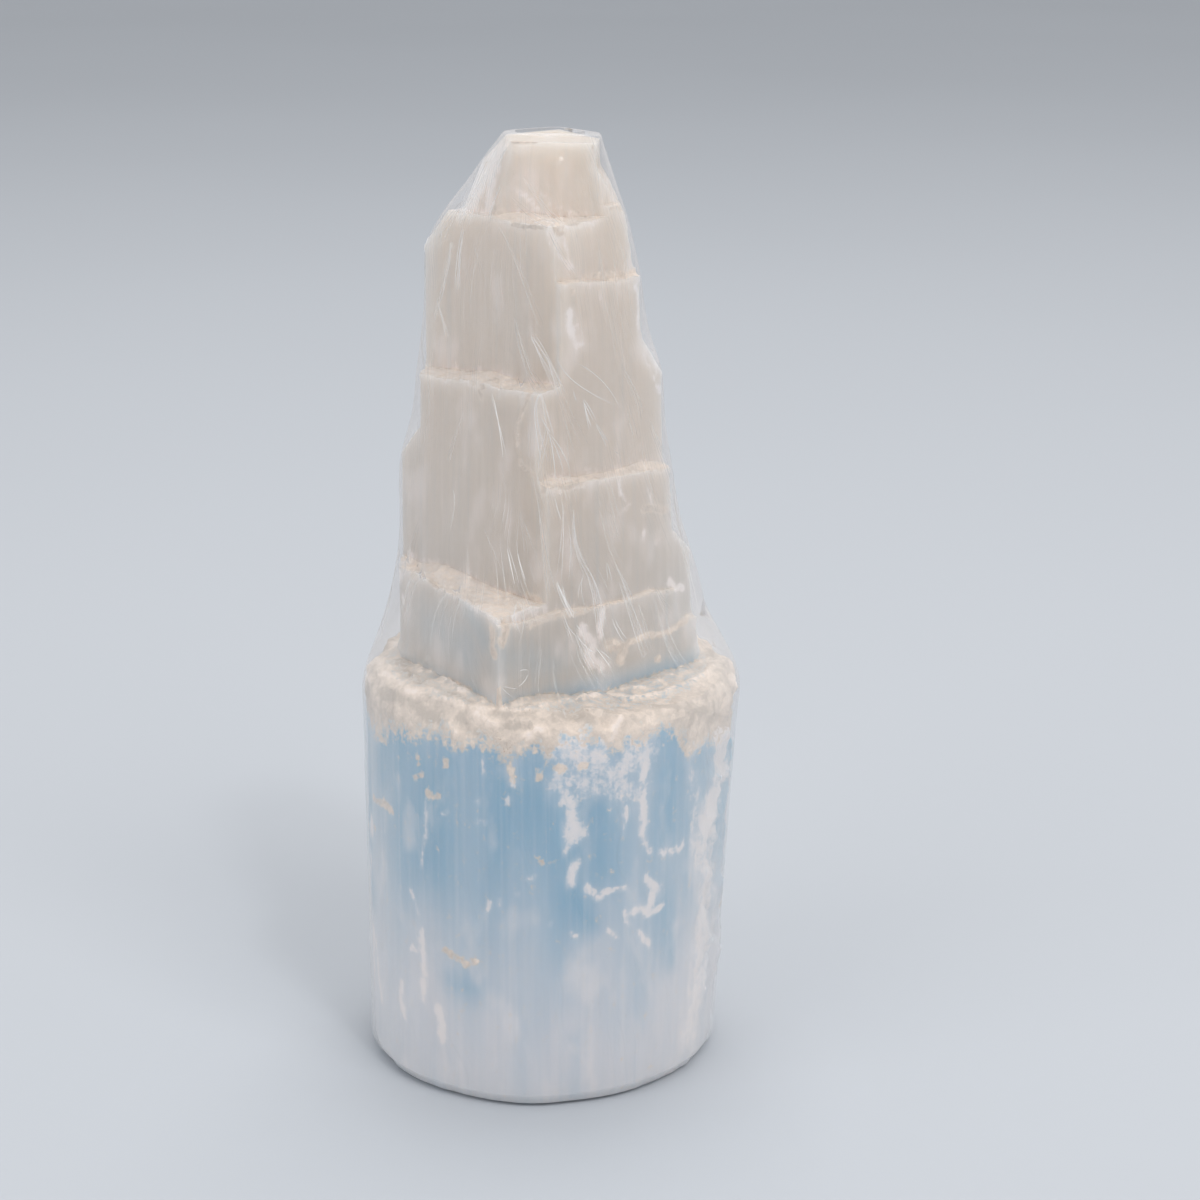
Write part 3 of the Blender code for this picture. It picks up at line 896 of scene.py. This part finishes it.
def shaken(tree, place):
    """Places moved about a little, so that grains are no neat cells."""
    sockets = {"Vector": scaled(tree, place, (1 / MM, 1 / MM, 1 / MM)), "Scale": 0.9, "Detail": 1.0}
    moved = add_node(tree, "ShaderNodeTexNoise", {}, sockets, output=1)
    shift = (0.9 * MM,) * 3
    return add_node(
        tree, "ShaderNodeVectorMath", {"operation": "MULTIPLY_ADD"}, [moved, shift, place]
    )


def grains_at(tree, place, size):
    """Broken grains of about this many millimetres: their depth, and a shade for each of them."""
    sockets = {"Vector": place, "Scale": 1 / (size * MM), "Randomness": 1.0}
    cells = add_node(tree, "ShaderNodeTexVoronoi", {"feature": "F1"}, sockets)
    colour = Value(tree, cells.socket.node.outputs[1])
    return cells, add_node(tree, "ShaderNodeSeparateColor", {}, [colour])


def crystal_material(look):
    """Milky, fibrous stone with clearer and whiter zones, under a crumbled crust."""
    material, tree = new_material("selenite")
    place = add_node(tree, "ShaderNodeTexCoord", {}, {}, output=3)
    height = add_node(tree, "ShaderNodeSeparateXYZ", {}, [place], output=2) / MM
    crust_at, cloud_at, clear_at, stain_at, ridge_light_fold_shade, slow, veil = (
        attribute(tree, name)
        for name in ("crust", "cloud", "clear", "stain", "tone", "slow", "veil")
    )
    crumbs = grain(tree, place, CRUMB_SIZE, detail=3.0, roughness=0.64)
    fibres = grain(tree, place, *FIBRE_SIZE, detail=2.0, roughness=0.6)
    broken = shaken(tree, place)
    flakes, flake_shade = grains_at(tree, scaled(tree, broken, (1.0, 1.0, 0.55)), FLAKE_SIZE)
    grains, grain_shade = grains_at(tree, broken, GRAIN_SIZE)
    on_column = 1.0 - height.step(*COLUMN_END)

    # Where each kind of stone is.
    wild = 0.4 + on_column * 0.6
    ragged = (crumbs - 0.5) * 1.1 + (flake_shade - 0.5) * 0.34 + (fibres - 0.5) * 0.3
    ragged = (ragged + (grain_shade - 0.5) * 0.34) * wild
    crust = (crust_at + ragged).step(0.44, 0.60)
    cloud_edge = (fibres - 0.5) * 0.5 + (crumbs - 0.5) * 1.0 + (grain_shade - 0.5) * 0.2
    cloud = cloud_at.step(0.0, 0.9) * 0.42 + (cloud_at + cloud_edge).step(0.36, 0.72) * 0.58
    clear = (clear_at + slow * 0.2).step(0.0, 1.0)
    fringe = (crust_at + ragged * 0.8).step(0.16, 0.50)
    specks = (1.0 - grains.step(0.12, 0.22)) * (grain_shade + stain_at * 0.6).step(0.985, 0.995)

    # The stone's colour: its own, with a cool blue that is partly painted reflection of blue
    # surroundings.
    cool = height.step(*COOL_AND_REFLECTED_HEIGHTS) * on_column
    low_peak = (1.0 - height.step(*LOW_PEAK)) * (1.0 - on_column)
    stone = mix_colour(tree, on_column, look.peak_colour, look.column_colour)
    stone = mix_colour(tree, low_peak * 0.22, stone, look.clear_stone_and_reflected_blue)
    lower = (1.0 - height.step(*UPPER_FACES)) * 0.34
    lower = lower + (1.0 - height.step(*LOWEST_FACES)) * 0.26
    stone = mix_colour(tree, lower * (1.0 - on_column * 0.7), stone, look.gap_colour)
    # The blue tint on the column, partly painted reflection, with slow patches.
    shade = cool * 0.70 + slow * 0.22 * (on_column * 0.8 + 0.2)
    stone = mix_colour(tree, shade, stone, look.clear_stone_and_reflected_blue)
    stone = mix_colour(tree, clear * (0.22 + 0.60 * on_column), stone, look.clear_stone_and_reflected_blue)
    stone = mix_colour(tree, veil.step(0.0, 0.9) * 0.36, stone, look.cloud_colour)
    stone = mix_colour(tree, (fibres - 0.48) * 0.5, stone, look.cloud_colour)
    stone = mix_colour(tree, (0.46 - fibres) * 0.4, stone, look.clear_stone_and_reflected_blue)
    stone = mix_colour(tree, fringe * 0.8, stone, look.peak_colour)
    stone = mix_colour(tree, cloud * 0.84, stone, look.cloud_colour)
    stone = mix_colour(tree, specks * 0.5, stone, look.stain_colour)
    sockets = {
        "Base Color": stone,
        "Roughness": 0.30 + cloud * 0.25,
        "IOR": 1.52,
        "Transmission Weight": 0.08,
        "Subsurface Weight": 1.0,
        "Subsurface Radius": (1.0, 1.05, 1.1),
        "Subsurface Scale": 0.010,
    }
    clear_stone = add_node(tree, "ShaderNodeBsdfPrincipled", {}, sockets)

    # The crust: grains over darker, clearer gaps, with painted highlight on its ridges
    # and painted shade in its folds.
    tone = 0.42 + ridge_light_fold_shade * 0.70 + (crumbs - 0.5) * 1.1 + veil * 0.3
    tone = tone + (flake_shade - 0.5) * 0.30 + (grain_shade - 0.5) * 0.22
    crust_colour = mix_colour(tree, tone, look.gap_colour, look.crust_colour)
    # Where the tone is highest, on the ridges, the painted highlight goes near white.
    crust_colour = mix_colour(tree, (tone - 0.85) * 1.2, crust_colour, look.cloud_colour)
    stain = stain_at * (1.0 - grains.step(0.20, 0.34)) * grain_shade.step(0.45, 0.6)
    dark = stain.larger(specks)
    crust_colour = mix_colour(tree, dark * 0.75, crust_colour, look.stain_colour)
    relief_of = crumbs * 0.6 - flakes * 0.26 - grains * 0.10
    sockets = {
        "Base Color": crust_colour,
        "Roughness": 0.85,
        "Normal": bump(tree, relief_of, 0.5),
    }
    crumbled = add_node(tree, "ShaderNodeBsdfPrincipled", {}, sockets)
    surface = add_node(tree, "ShaderNodeMixShader", {}, [crust, clear_stone, crumbled])
    finish_material(tree, surface)
    return material


def flatten_foot(piece):
    """Nothing of the piece reaches below what it stands on."""
    places = read_vertices(piece.data)
    places[:, 2] = np.maximum(places[:, 2], 0.0)
    piece.data.vertices.foreach_set("co", places.astype(np.float32).ravel())
    piece.data.update()


def fine_crystal():
    """The solid in fine, even faces, and how much each vertex belongs to the column's wall."""
    piece = merged_copy("selenite_crystal", "crystal")
    add_modifier(
        piece,
        "REMESH",
        mode="SHARP",
        octree_depth=REMESH_DEPTH,
        scale=REMESH_SCALE,
        sharpness=1.0,
        use_remove_disconnected=False,
    )
    surface = Surface(piece)
    wall = (surface.radius > RIM_RADIUS - 1.0) & (np.abs(surface.normal[:, 2]) < 0.5)
    on_wall = np.where(wall, smooth_step(surface.height, FOOT, FOOT + 5.0), 0.0)
    on_wall = surface.spread(on_wall, 4) * (1.0 - smooth_step(surface.height, 80.0, 88.0))
    group_of(piece, "column", on_wall)
    add_modifier(piece, "SMOOTH", factor=0.6, iterations=14, vertex_group="column")
    flat = (surface.height > SHOULDER_TOP) & (np.abs(surface.normal[:, 2]) < 0.4)
    near_edge = surface.spread(1.0 - flat, 3)
    group_of(piece, "flat", np.clip(1.0 - 4.0 * near_edge, 0.0, 1.0))
    add_modifier(piece, "SMOOTH", factor=0.5, iterations=8, vertex_group="flat")
    return piece, on_wall


def raise_reliefs(piece, surface, fields, on_wall, look):
    """Fibres on the walls, the rough band, and the crust's crumbs and ridges."""
    above_foot = smooth_step(surface.height, *FOOT_EDGE)
    group_of(piece, "fibres", on_wall * above_foot)
    crusted = smooth_step(fields["crust"], 0.35, 0.6) * above_foot
    inside_top = 1.0 - smooth_step(surface.height, *TOP_EDGE)
    group_of(piece, "crumbs", crusted * inside_top)
    off_band = np.abs((surface.facing - BAND_FACING + 180.0) % 360.0 - 180.0)
    rib = (1.0 - smooth_step(off_band, *BAND_WIDTH)) * on_wall
    group_of(piece, "rib", rib * smooth_step(surface.height, 4.0, 24.0))
    walls = (surface.height > SHOULDER_TOP) & (np.abs(surface.normal[:, 2]) < 0.4)
    group_of(piece, "faces", surface.spread(walls.astype(float), 2) * inside_top)
    relief(piece, "fibres", look.fibre_depth, 2.4, 60.0, noise_depth=2)
    relief(piece, "faces", look.fibre_depth, 9.0, 50.0, noise_depth=3)
    relief(piece, "rib", look.rib_depth, 3.4, 6.0, noise_depth=2)
    relief(piece, "crumbs", look.crumb_depth, 3.4, noise_depth=1)
    relief(piece, "crumbs", 0.6 * look.crumb_depth, 1.7, kind="VORONOI")
    raised = np.clip(fields["tone"], 0.0, 1.0) * above_foot * inside_top
    group_of(piece, "ridges", raised)
    add_modifier(
        piece, "DISPLACE", strength=look.ridge_height, mid_level=0.0, vertex_group="ridges"
    )
    flatten_foot(piece)


def make_crystal(look):
    """The crystal: the solid's own faces, fibrous on the column, crumbled on rim and ledges."""
    piece, on_wall = fine_crystal()
    surface = Surface(piece)
    fields = crystal_fields(piece, surface)
    raise_reliefs(piece, surface, fields, on_wall, look)
    for name, values in fields.items():
        store(piece, name, values)
    piece.vertex_groups.clear()
    select_only(piece)
    bpy.ops.object.shade_smooth_by_angle(angle=math.radians(CRYSTAL_CREASE))
    piece.data.materials.append(crystal_material(look))
    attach(piece, "root")
    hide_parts("selenite_crystal")
    return piece


# The film

# The sleeve before it shrinks: the faces round it, and its two rounds of cuts along it.
SLEEVE_COLUMNS = 216
SLEEVE_CUTS = (12, 13)
SLEEVE_RADIUS = 50.0
SLEEVE_BOTTOM = 3.2
SLEEVE_TOP = 200.2

# How many times the film is smoothed before it is put back outside the stone, round by round.
SETTLING = (10, 10, 10, 8, 5, 3, 2, 2, 1, 1)
LAST_SMOOTHING = 2

# The points along one line of a crease.
CREASE_STEPS = 15

# Fine wrinkles, painted as pale glint lines: how far they lean in degrees, how far they sway,
# and how many to a metre.
WRINKLE_LEAN = -14.0
WRINKLE_SWAY = 4.0
WRINKLES_PER_METRE = (2600.0, 30.0, 0.0)

# The radius at which the sleeve is laid flat.
COLUMN_RADIUS = 40.0

# Each row of the lip: how much narrower it is than the one before, and how far it rises.
LIP = ((0.97, 0.22), (0.86, 0.14), (0.86, 0.04))


def rolled_sleeve():
    """An open cylinder round the object, in fine, even rows."""
    select_only(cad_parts["shrink_film"])
    bpy.ops.object.select_all(action="DESELECT")
    bpy.ops.mesh.primitive_cylinder_add(
        vertices=SLEEVE_COLUMNS,
        radius=SLEEVE_RADIUS * MM,
        depth=(SLEEVE_TOP - SLEEVE_BOTTOM) * MM,
        end_fill_type="NOTHING",
        location=(0.0, 0.0, 0.5 * (SLEEVE_TOP + SLEEVE_BOTTOM) * MM),
    )
    piece = bpy.context.object
    piece.name = "film"
    bpy.ops.object.transform_apply(location=True, rotation=True, scale=True)
    for cuts in SLEEVE_CUTS:
        bpy.ops.object.mode_set(mode="EDIT")
        bpy.ops.mesh.select_mode(type="EDGE")
        bpy.ops.mesh.select_all(action="DESELECT")
        shape = bmesh.from_edit_mesh(piece.data)
        for edge in shape.edges:
            edge.select_set(abs(edge.verts[0].co.z - edge.verts[1].co.z) > 0.1 * MM)
        bmesh.update_edit_mesh(piece.data)
        bpy.ops.mesh.subdivide(number_cuts=cuts)
        bpy.ops.object.mode_set(mode="OBJECT")
    return piece


def turn_in_lip(piece):
    """The film's upper end, shrunk over the edge of the top face."""
    select_only(piece)
    bpy.ops.object.mode_set(mode="EDIT")
    bpy.ops.mesh.select_mode(type="EDGE")
    bpy.ops.mesh.select_all(action="DESELECT")
    shape = bmesh.from_edit_mesh(piece.data)
    for edge in shape.edges:
        edge.select_set(edge.is_boundary and edge.verts[0].co.z > 0.1)
    bmesh.update_edit_mesh(piece.data)
    for inwards, rise in LIP:
        chosen = [v.co for v in bmesh.from_edit_mesh(piece.data).verts if v.select]
        middle = sum(chosen, Vector()) / len(chosen)
        bpy.ops.mesh.extrude_edges_move(TRANSFORM_OT_translate={"value": (0.0, 0.0, rise * MM)})
        bpy.ops.transform.resize(value=(inwards, inwards, 1.0), center_override=middle)
    bpy.ops.object.mode_set(mode="OBJECT")


def unroll(piece):
    """A UV map of the sleeve laid flat: metres round it and metres up."""
    mesh = piece.data
    place = read_vertices(mesh)
    corners = np.empty(len(mesh.loops), np.int32)
    mesh.loops.foreach_get("vertex_index", corners)
    sides = np.empty(len(mesh.polygons), np.int32)
    mesh.polygons.foreach_get("loop_total", sides)
    turn = np.arctan2(place[:, 0], -place[:, 1])[corners]
    first = np.repeat(turn[np.cumsum(sides) - sides], sides)
    turn = first + (turn - first + math.pi) % (2.0 * math.pi) - math.pi
    flat = np.stack([turn * COLUMN_RADIUS * MM, place[corners, 2]], axis=1).astype(np.float32)
    layer = mesh.uv_layers.get("unrolled") or mesh.uv_layers.new(name="unrolled")
    layer.data.foreach_set("uv", flat.ravel())


def hidden_creases(skin):
    """Creases and wrinkled zones out of sight, painted with pale glints like those in front."""
    chance = random.Random(11)
    creases = []
    zones = []
    for _ in range(HIDDEN_CREASES):
        facing = chance.uniform(*HIDDEN_SIDE)
        height = chance.uniform(104.0, 192.0)
        drift = chance.uniform(-12.0, 16.0)
        drop = chance.uniform(7.0, 22.0)
        middle = (facing + 0.5 * drift + chance.uniform(-2.0, 2.0), height - 0.5 * drop)
        ways = ((facing, height), middle, (facing + drift, height - drop))
        lines = chance.choice((1, 2, 2, 3, 4))
        path = [faced_at(skin, place) for place in ways]
        creases.append(Crease(lines, chance.uniform(0.6, 2.4), chance.uniform(0.3, 0.9), path))
        if lines > 2:
            # A wrinkled zone, where the film material paints pale glint lines.
            zones.append(Mark(chance.uniform(0.7, 1.3), ways, chance.uniform(0.3, 0.8)))
    return creases, laid_on(skin, zones, faced_at)


def add_fold(skin, path, aside, width, strength):
    """One line of a crease: a thin, tapered fold that lies on the film."""
    start, middle, end = path
    through = 2.0 * middle - 0.5 * (start + end)
    points = []
    for step in range(CREASE_STEPS):
        t = step / (CREASE_STEPS - 1)
        place = (1 - t) ** 2 * start + 2 * t * (1 - t) * through + t * t * end
        hit, normal = skin.find_nearest(place)[:2]
        side = normal.cross(end - start).normalized()
        hit = skin.find_nearest(hit + side * (aside * (0.25 + 0.75 * t) * MM))[0]
        points.append((hit, (0.35 + 0.65 * strength) * math.sin(math.pi * t) ** 0.5 + 0.08))
    curve = bpy.data.curves.new("crease", "CURVE")
    curve.dimensions = "3D"
    curve.bevel_depth = 0.5 * width
    curve.bevel_resolution = 0
    curve.use_fill_caps = True
    spline = curve.splines.new("POLY")
    spline.points.add(len(points) - 1)
    for point, (place, radius) in zip(spline.points, points):
        point.co = (*place, 1.0)
        point.radius = radius
    fold = bpy.data.objects.new("crease", curve)
    bpy.context.scene.collection.objects.link(fold)
    select_only(fold)
    bpy.ops.object.convert(target="MESH")
    fold = bpy.context.object
    # How strongly the film material paints this crease as a pale glint.
    store(fold, "crease", np.full(len(fold.data.vertices), strength))
    return fold


def make_creases(skin, creases, width):
    """Every line of every crease, joined in one piece."""
    chance = random.Random(2)
    folds = []
    for crease in creases:
        if None in crease.path:
            continue
        for line in range(crease.lines):
            across = 0.0 if crease.lines == 1 else 2.0 * line / (crease.lines - 1) - 1.0
            aside = 0.5 * crease.fan * (across + chance.uniform(-0.25, 0.25))
            strength = min(1.0, crease.strength * chance.uniform(0.6, 1.15))
            bend = Vector((chance.uniform(-0.2, 0.2), 0.0, chance.uniform(-0.8, 0.8))) * MM
            path = [crease.path[0] + bend, crease.path[1] + 0.5 * bend, crease.path[2] - bend]
            folds.append(add_fold(skin, path, aside, width, strength))
    select_only(*folds)
    bpy.ops.object.join()
    return bpy.context.object


def film_material(look):
    """Clear film, shining at a slant, with glints painted pale on its creases and fine wrinkles."""
    material, tree = new_material("clear_film")
    laid = add_node(tree, "ShaderNodeUVMap", {"uv_map": "unrolled"})
    crease = attribute(tree, "crease")
    wrinkles = attribute(tree, "wrinkles").step(0.10, 0.90)
    turned = {"Vector": laid, "Rotation": (0.0, 0.0, math.radians(WRINKLE_LEAN))}
    slanted = add_node(tree, "ShaderNodeMapping", {"vector_type": "POINT"}, turned)
    warp = add_node(tree, "ShaderNodeCombineXYZ", {}, [attribute(tree, "sway"), 0.0, 0.0])
    warped = add_node(
        tree,
        "ShaderNodeVectorMath",
        {"operation": "MULTIPLY_ADD"},
        [warp, (WRINKLE_SWAY * MM, 0.0, 0.0), slanted],
    )
    fine = scaled(tree, warped, WRINKLES_PER_METRE)
    lines = add_node(
        tree,
        "ShaderNodeTexNoise",
        {"noise_dimensions": "2D"},
        {"Vector": fine, "Scale": 1.0, "Detail": 1.0, "Roughness": 0.6},
    )
    height = add_node(tree, "ShaderNodeSeparateXYZ", {}, [laid], output=1) / MM
    on_peak = height.step(86.0, 98.0)
    # Fine lines painted pale as glints, mostly on the peak.
    painted_streaks = lines.step(0.60, 0.72) * attribute(tree, "pulls") * (on_peak * 0.9 + 0.1)
    slant = add_node(tree, "ShaderNodeLayerWeight", {}, {"Blend": 0.22}, output=1)
    # At a slant the film turns whitish and glossy, and it is painted whitish where glints lie on
    # fine lines, wrinkles and creases.
    sheen_and_painted_glints = 0.035 + slant * 0.40 + painted_streaks * 0.16
    sheen_and_painted_glints = sheen_and_painted_glints + wrinkles * (0.02 + lines.step(0.48, 0.60) * 0.26)
    sheen_and_painted_glints = sheen_and_painted_glints.larger(crease * 0.9)
    sockets = {
        "Base Color": look.gloss_and_glint_colour,
        "Roughness": 0.09,
        "IOR": 1.5,
    }
    gloss_and_painted_glints = add_node(tree, "ShaderNodeBsdfPrincipled", {}, sockets)
    clear = add_node(tree, "ShaderNodeBsdfTransparent", {}, {"Color": look.tint})
    finish_material(tree, add_node(tree, "ShaderNodeMixShader", {}, [sheen_and_painted_glints, clear, gloss_and_painted_glints]))
    return material


def make_film(look, crystal):
    """The shrink film: a sleeve drawn tight over the crystal's edges, with its creases."""
    piece = rolled_sleeve()
    add_modifier(
        piece,
        "SHRINKWRAP",
        target=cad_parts["shrink_film"],
        wrap_method="PROJECT",
        use_positive_direction=False,
        use_negative_direction=True,
    )
    surface = Surface(piece)
    loose = smooth_step(surface.height, SLEEVE_BOTTOM, SLEEVE_BOTTOM + 1.2)
    loose *= 1.0 - smooth_step(surface.height, SLEEVE_TOP - 1.5, SLEEVE_TOP - 0.3)
    loose *= 0.3 + 0.7 * smooth_step(surface.height, 84.0, 96.0)
    group_of(piece, "loose", loose)
    for iterations in SETTLING:
        add_modifier(piece, "SMOOTH", factor=0.5, iterations=iterations, vertex_group="loose")
        add_modifier(
            piece,
            "SHRINKWRAP",
            target=crystal,
            wrap_method="NEAREST_SURFACEPOINT",
            wrap_mode="OUTSIDE",
            offset=look.gap,
        )
    add_modifier(piece, "SMOOTH", factor=0.5, iterations=LAST_SMOOTHING, vertex_group="loose")
    turn_in_lip(piece)
    unroll(piece)
    skin = skin_of(piece)
    creases = [
        crease._replace(path=[seen_at(skin, pixel) for pixel in crease.path]) for crease in CREASES
    ]
    more_creases, zones = hidden_creases(skin)
    folds = make_creases(skin, creases + more_creases, look.crease_width)
    add_modifier(piece, "SOLIDIFY", thickness=look.thickness, offset=1.0)
    store(piece, "crease", np.zeros(len(piece.data.vertices)))
    surface = Surface(piece)
    # Where pale wrinkle lines are painted as glints.
    store(piece, "wrinkles", surface.marked(laid_on(skin, PAINTED_WRINKLE_GLINTS) + zones, 0.5))
    store(piece, "sway", surface.noise(14.0, 14.0, 5.5))
    # Where the fine lines are painted pale as glints.
    store(piece, "pulls", np.clip(0.35 + 1.4 * surface.noise(5.0, 90.0, 8.4), 0.0, 1.0))
    for name in ("wrinkles", "sway", "pulls"):
        store(folds, name, np.zeros(len(folds.data.vertices)))
    unroll(folds)
    piece.vertex_groups.clear()
    select_only(piece, folds)
    bpy.ops.object.join()
    select_only(piece)
    bpy.ops.object.shade_smooth_by_angle(angle=math.radians(FILM_CREASE))
    piece.data.materials.clear()
    piece.data.materials.append(film_material(look))
    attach(piece, "root")
    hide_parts("shrink_film")
    return piece


# The stage

# The floor's size, and the width of its outer ring, in metres.
FLOOR_RADIUS = 6.0
FLOOR_BORDER = 1.5

# The floor's slow change of tone: its lumps in millimetres, and how dark it gets.
FLOOR_CLOUDS = 900.0
FLOOR_DARKEST = 0.93

# A lamp's place, what it aims at, its sides in metres, its power in watts and its colour.
Lamp = namedtuple("Lamp", "name place aim sides power colour")
LAMPS = (
    Lamp("key", (0.95, -1.25, 1.55), (0.0, 0.0, 0.11), (1.10, 1.10), 13.6, (1.0, 0.97, 0.94)),
    Lamp("fill", (-1.35, -1.10, 1.05), (0.0, 0.0, 0.10), (1.30, 1.30), 6.5, (1.0, 0.99, 0.98)),
    Lamp("top", (0.10, 0.55, 1.80), (0.0, 0.0, 0.14), (1.00, 1.00), 11.0, (1.0, 0.98, 0.96)),
    Lamp("glint", (0.45, -0.90, 1.35), (0.0, 0.0, 0.12), (0.14, 0.14), 2.6, (1.0, 1.0, 1.0)),
)


def make_floor(look):
    """A wide, pale, round floor."""
    bpy.ops.object.select_all(action="DESELECT")
    bpy.ops.mesh.primitive_circle_add(vertices=96, radius=FLOOR_RADIUS, fill_type="NGON")
    floor = bpy.context.object
    floor.name = "floor"
    bpy.ops.object.mode_set(mode="EDIT")
    bpy.ops.mesh.select_all(action="SELECT")
    bpy.ops.mesh.inset(thickness=FLOOR_BORDER)
    bpy.ops.object.mode_set(mode="OBJECT")
    material, tree = new_material("pale_floor")
    place = add_node(tree, "ShaderNodeTexCoord", {}, {}, output=3)
    tone = grain(tree, place, FLOOR_CLOUDS, detail=2.0)
    darker = tuple(FLOOR_DARKEST * value for value in look.floor_colour)
    colour = mix_colour(tree, tone, look.floor_colour, darker)
    sockets = {"Base Color": colour, "Roughness": 0.9}
    finish_material(tree, add_node(tree, "ShaderNodeBsdfPrincipled", {}, sockets))
    floor.data.materials.append(material)


def make_lamps(power):
    for lamp in LAMPS:
        bpy.ops.object.light_add(type="AREA", location=lamp.place)
        item = bpy.context.object
        item.name = lamp.name
        item.data.shape = "RECTANGLE"
        item.data.size, item.data.size_y = lamp.sides
        item.data.energy = lamp.power * power
        item.data.color = lamp.colour
        away = Vector(lamp.place) - Vector(lamp.aim)
        item.rotation_euler = away.to_track_quat("Z", "Y").to_euler()


def make_camera():
    bpy.ops.object.camera_add(location=CAMERA_PLACE, rotation=(math.radians(CAMERA_PITCH), 0, 0))
    camera = bpy.context.object
    camera.data.lens = CAMERA_LENS
    camera.data.sensor_width = CAMERA_SENSOR
    camera.data.clip_start, camera.data.clip_end = 0.01, 50.0
    bpy.context.scene.camera = camera


def make_world(look):
    world = bpy.data.worlds.new("pale_room")
    world.use_nodes = True
    tree = world.node_tree
    tree.nodes.clear()
    sockets = {"Color": (0.92, 0.93, 0.95), "Strength": look.world_light}
    light = add_node(tree, "ShaderNodeBackground", {}, sockets)
    add_node(tree, "ShaderNodeOutputWorld", {}, {"Surface": light})
    bpy.context.scene.world = world


# What a user runs


class SELENITE_OT_crystal(bpy.types.Operator):
    """Model the crystal on its solid, with its fibres, crust and clouds"""

    bl_idname = "selenite.crystal"
    bl_label = "Make Crystal"

    def execute(self, context):
        make_crystal(context.scene.selenite_crystal)
        return {"FINISHED"}


class SELENITE_OT_film(bpy.types.Operator):
    """Draw the clear film tight over the crystal, and crease it"""

    bl_idname = "selenite.film"
    bl_label = "Wrap in Film"

    def execute(self, context):
        make_film(context.scene.selenite_film, bpy.data.objects["crystal"])
        return {"FINISHED"}


class SELENITE_OT_stage(bpy.types.Operator):
    """Set the pale floor, the soft lights and the camera"""

    bl_idname = "selenite.stage"
    bl_label = "Set Stage"

    def execute(self, context):
        look = context.scene.selenite_stage
        make_floor(look)
        make_lamps(look.light_power)
        make_camera()
        make_world(look)
        context.scene.view_settings.view_transform = "Standard"
        return {"FINISHED"}


class SELENITE_PT_tower(bpy.types.Panel):
    """The tower's sizes and colours, and the buttons that make it"""

    bl_label = "Selenite Tower"
    bl_space_type = "VIEW_3D"
    bl_region_type = "UI"
    bl_category = "Selenite"

    def draw(self, context):
        for group, operator in (
            ("selenite_crystal", "selenite.crystal"),
            ("selenite_film", "selenite.film"),
            ("selenite_stage", "selenite.stage"),
        ):
            box = self.layout.box()
            settings = getattr(context.scene, group)
            for name in settings.__annotations__:
                box.prop(settings, name)
            box.operator(operator)


CLASSES = (
    CrystalSettings,
    FilmSettings,
    StageSettings,
    SELENITE_OT_crystal,
    SELENITE_OT_film,
    SELENITE_OT_stage,
    SELENITE_PT_tower,
)


def register():
    for item in CLASSES:
        bpy.utils.register_class(item)
    bpy.types.Scene.selenite_crystal = bpy.props.PointerProperty(type=CrystalSettings)
    bpy.types.Scene.selenite_film = bpy.props.PointerProperty(type=FilmSettings)
    bpy.types.Scene.selenite_stage = bpy.props.PointerProperty(type=StageSettings)


def unregister():
    del bpy.types.Scene.selenite_stage
    del bpy.types.Scene.selenite_film
    del bpy.types.Scene.selenite_crystal
    for item in reversed(CLASSES):
        bpy.utils.unregister_class(item)


def main():
    register()
    bpy.ops.selenite.crystal()
    bpy.ops.selenite.film()
    bpy.ops.selenite.stage()


if __name__ == "__main__":
    main()
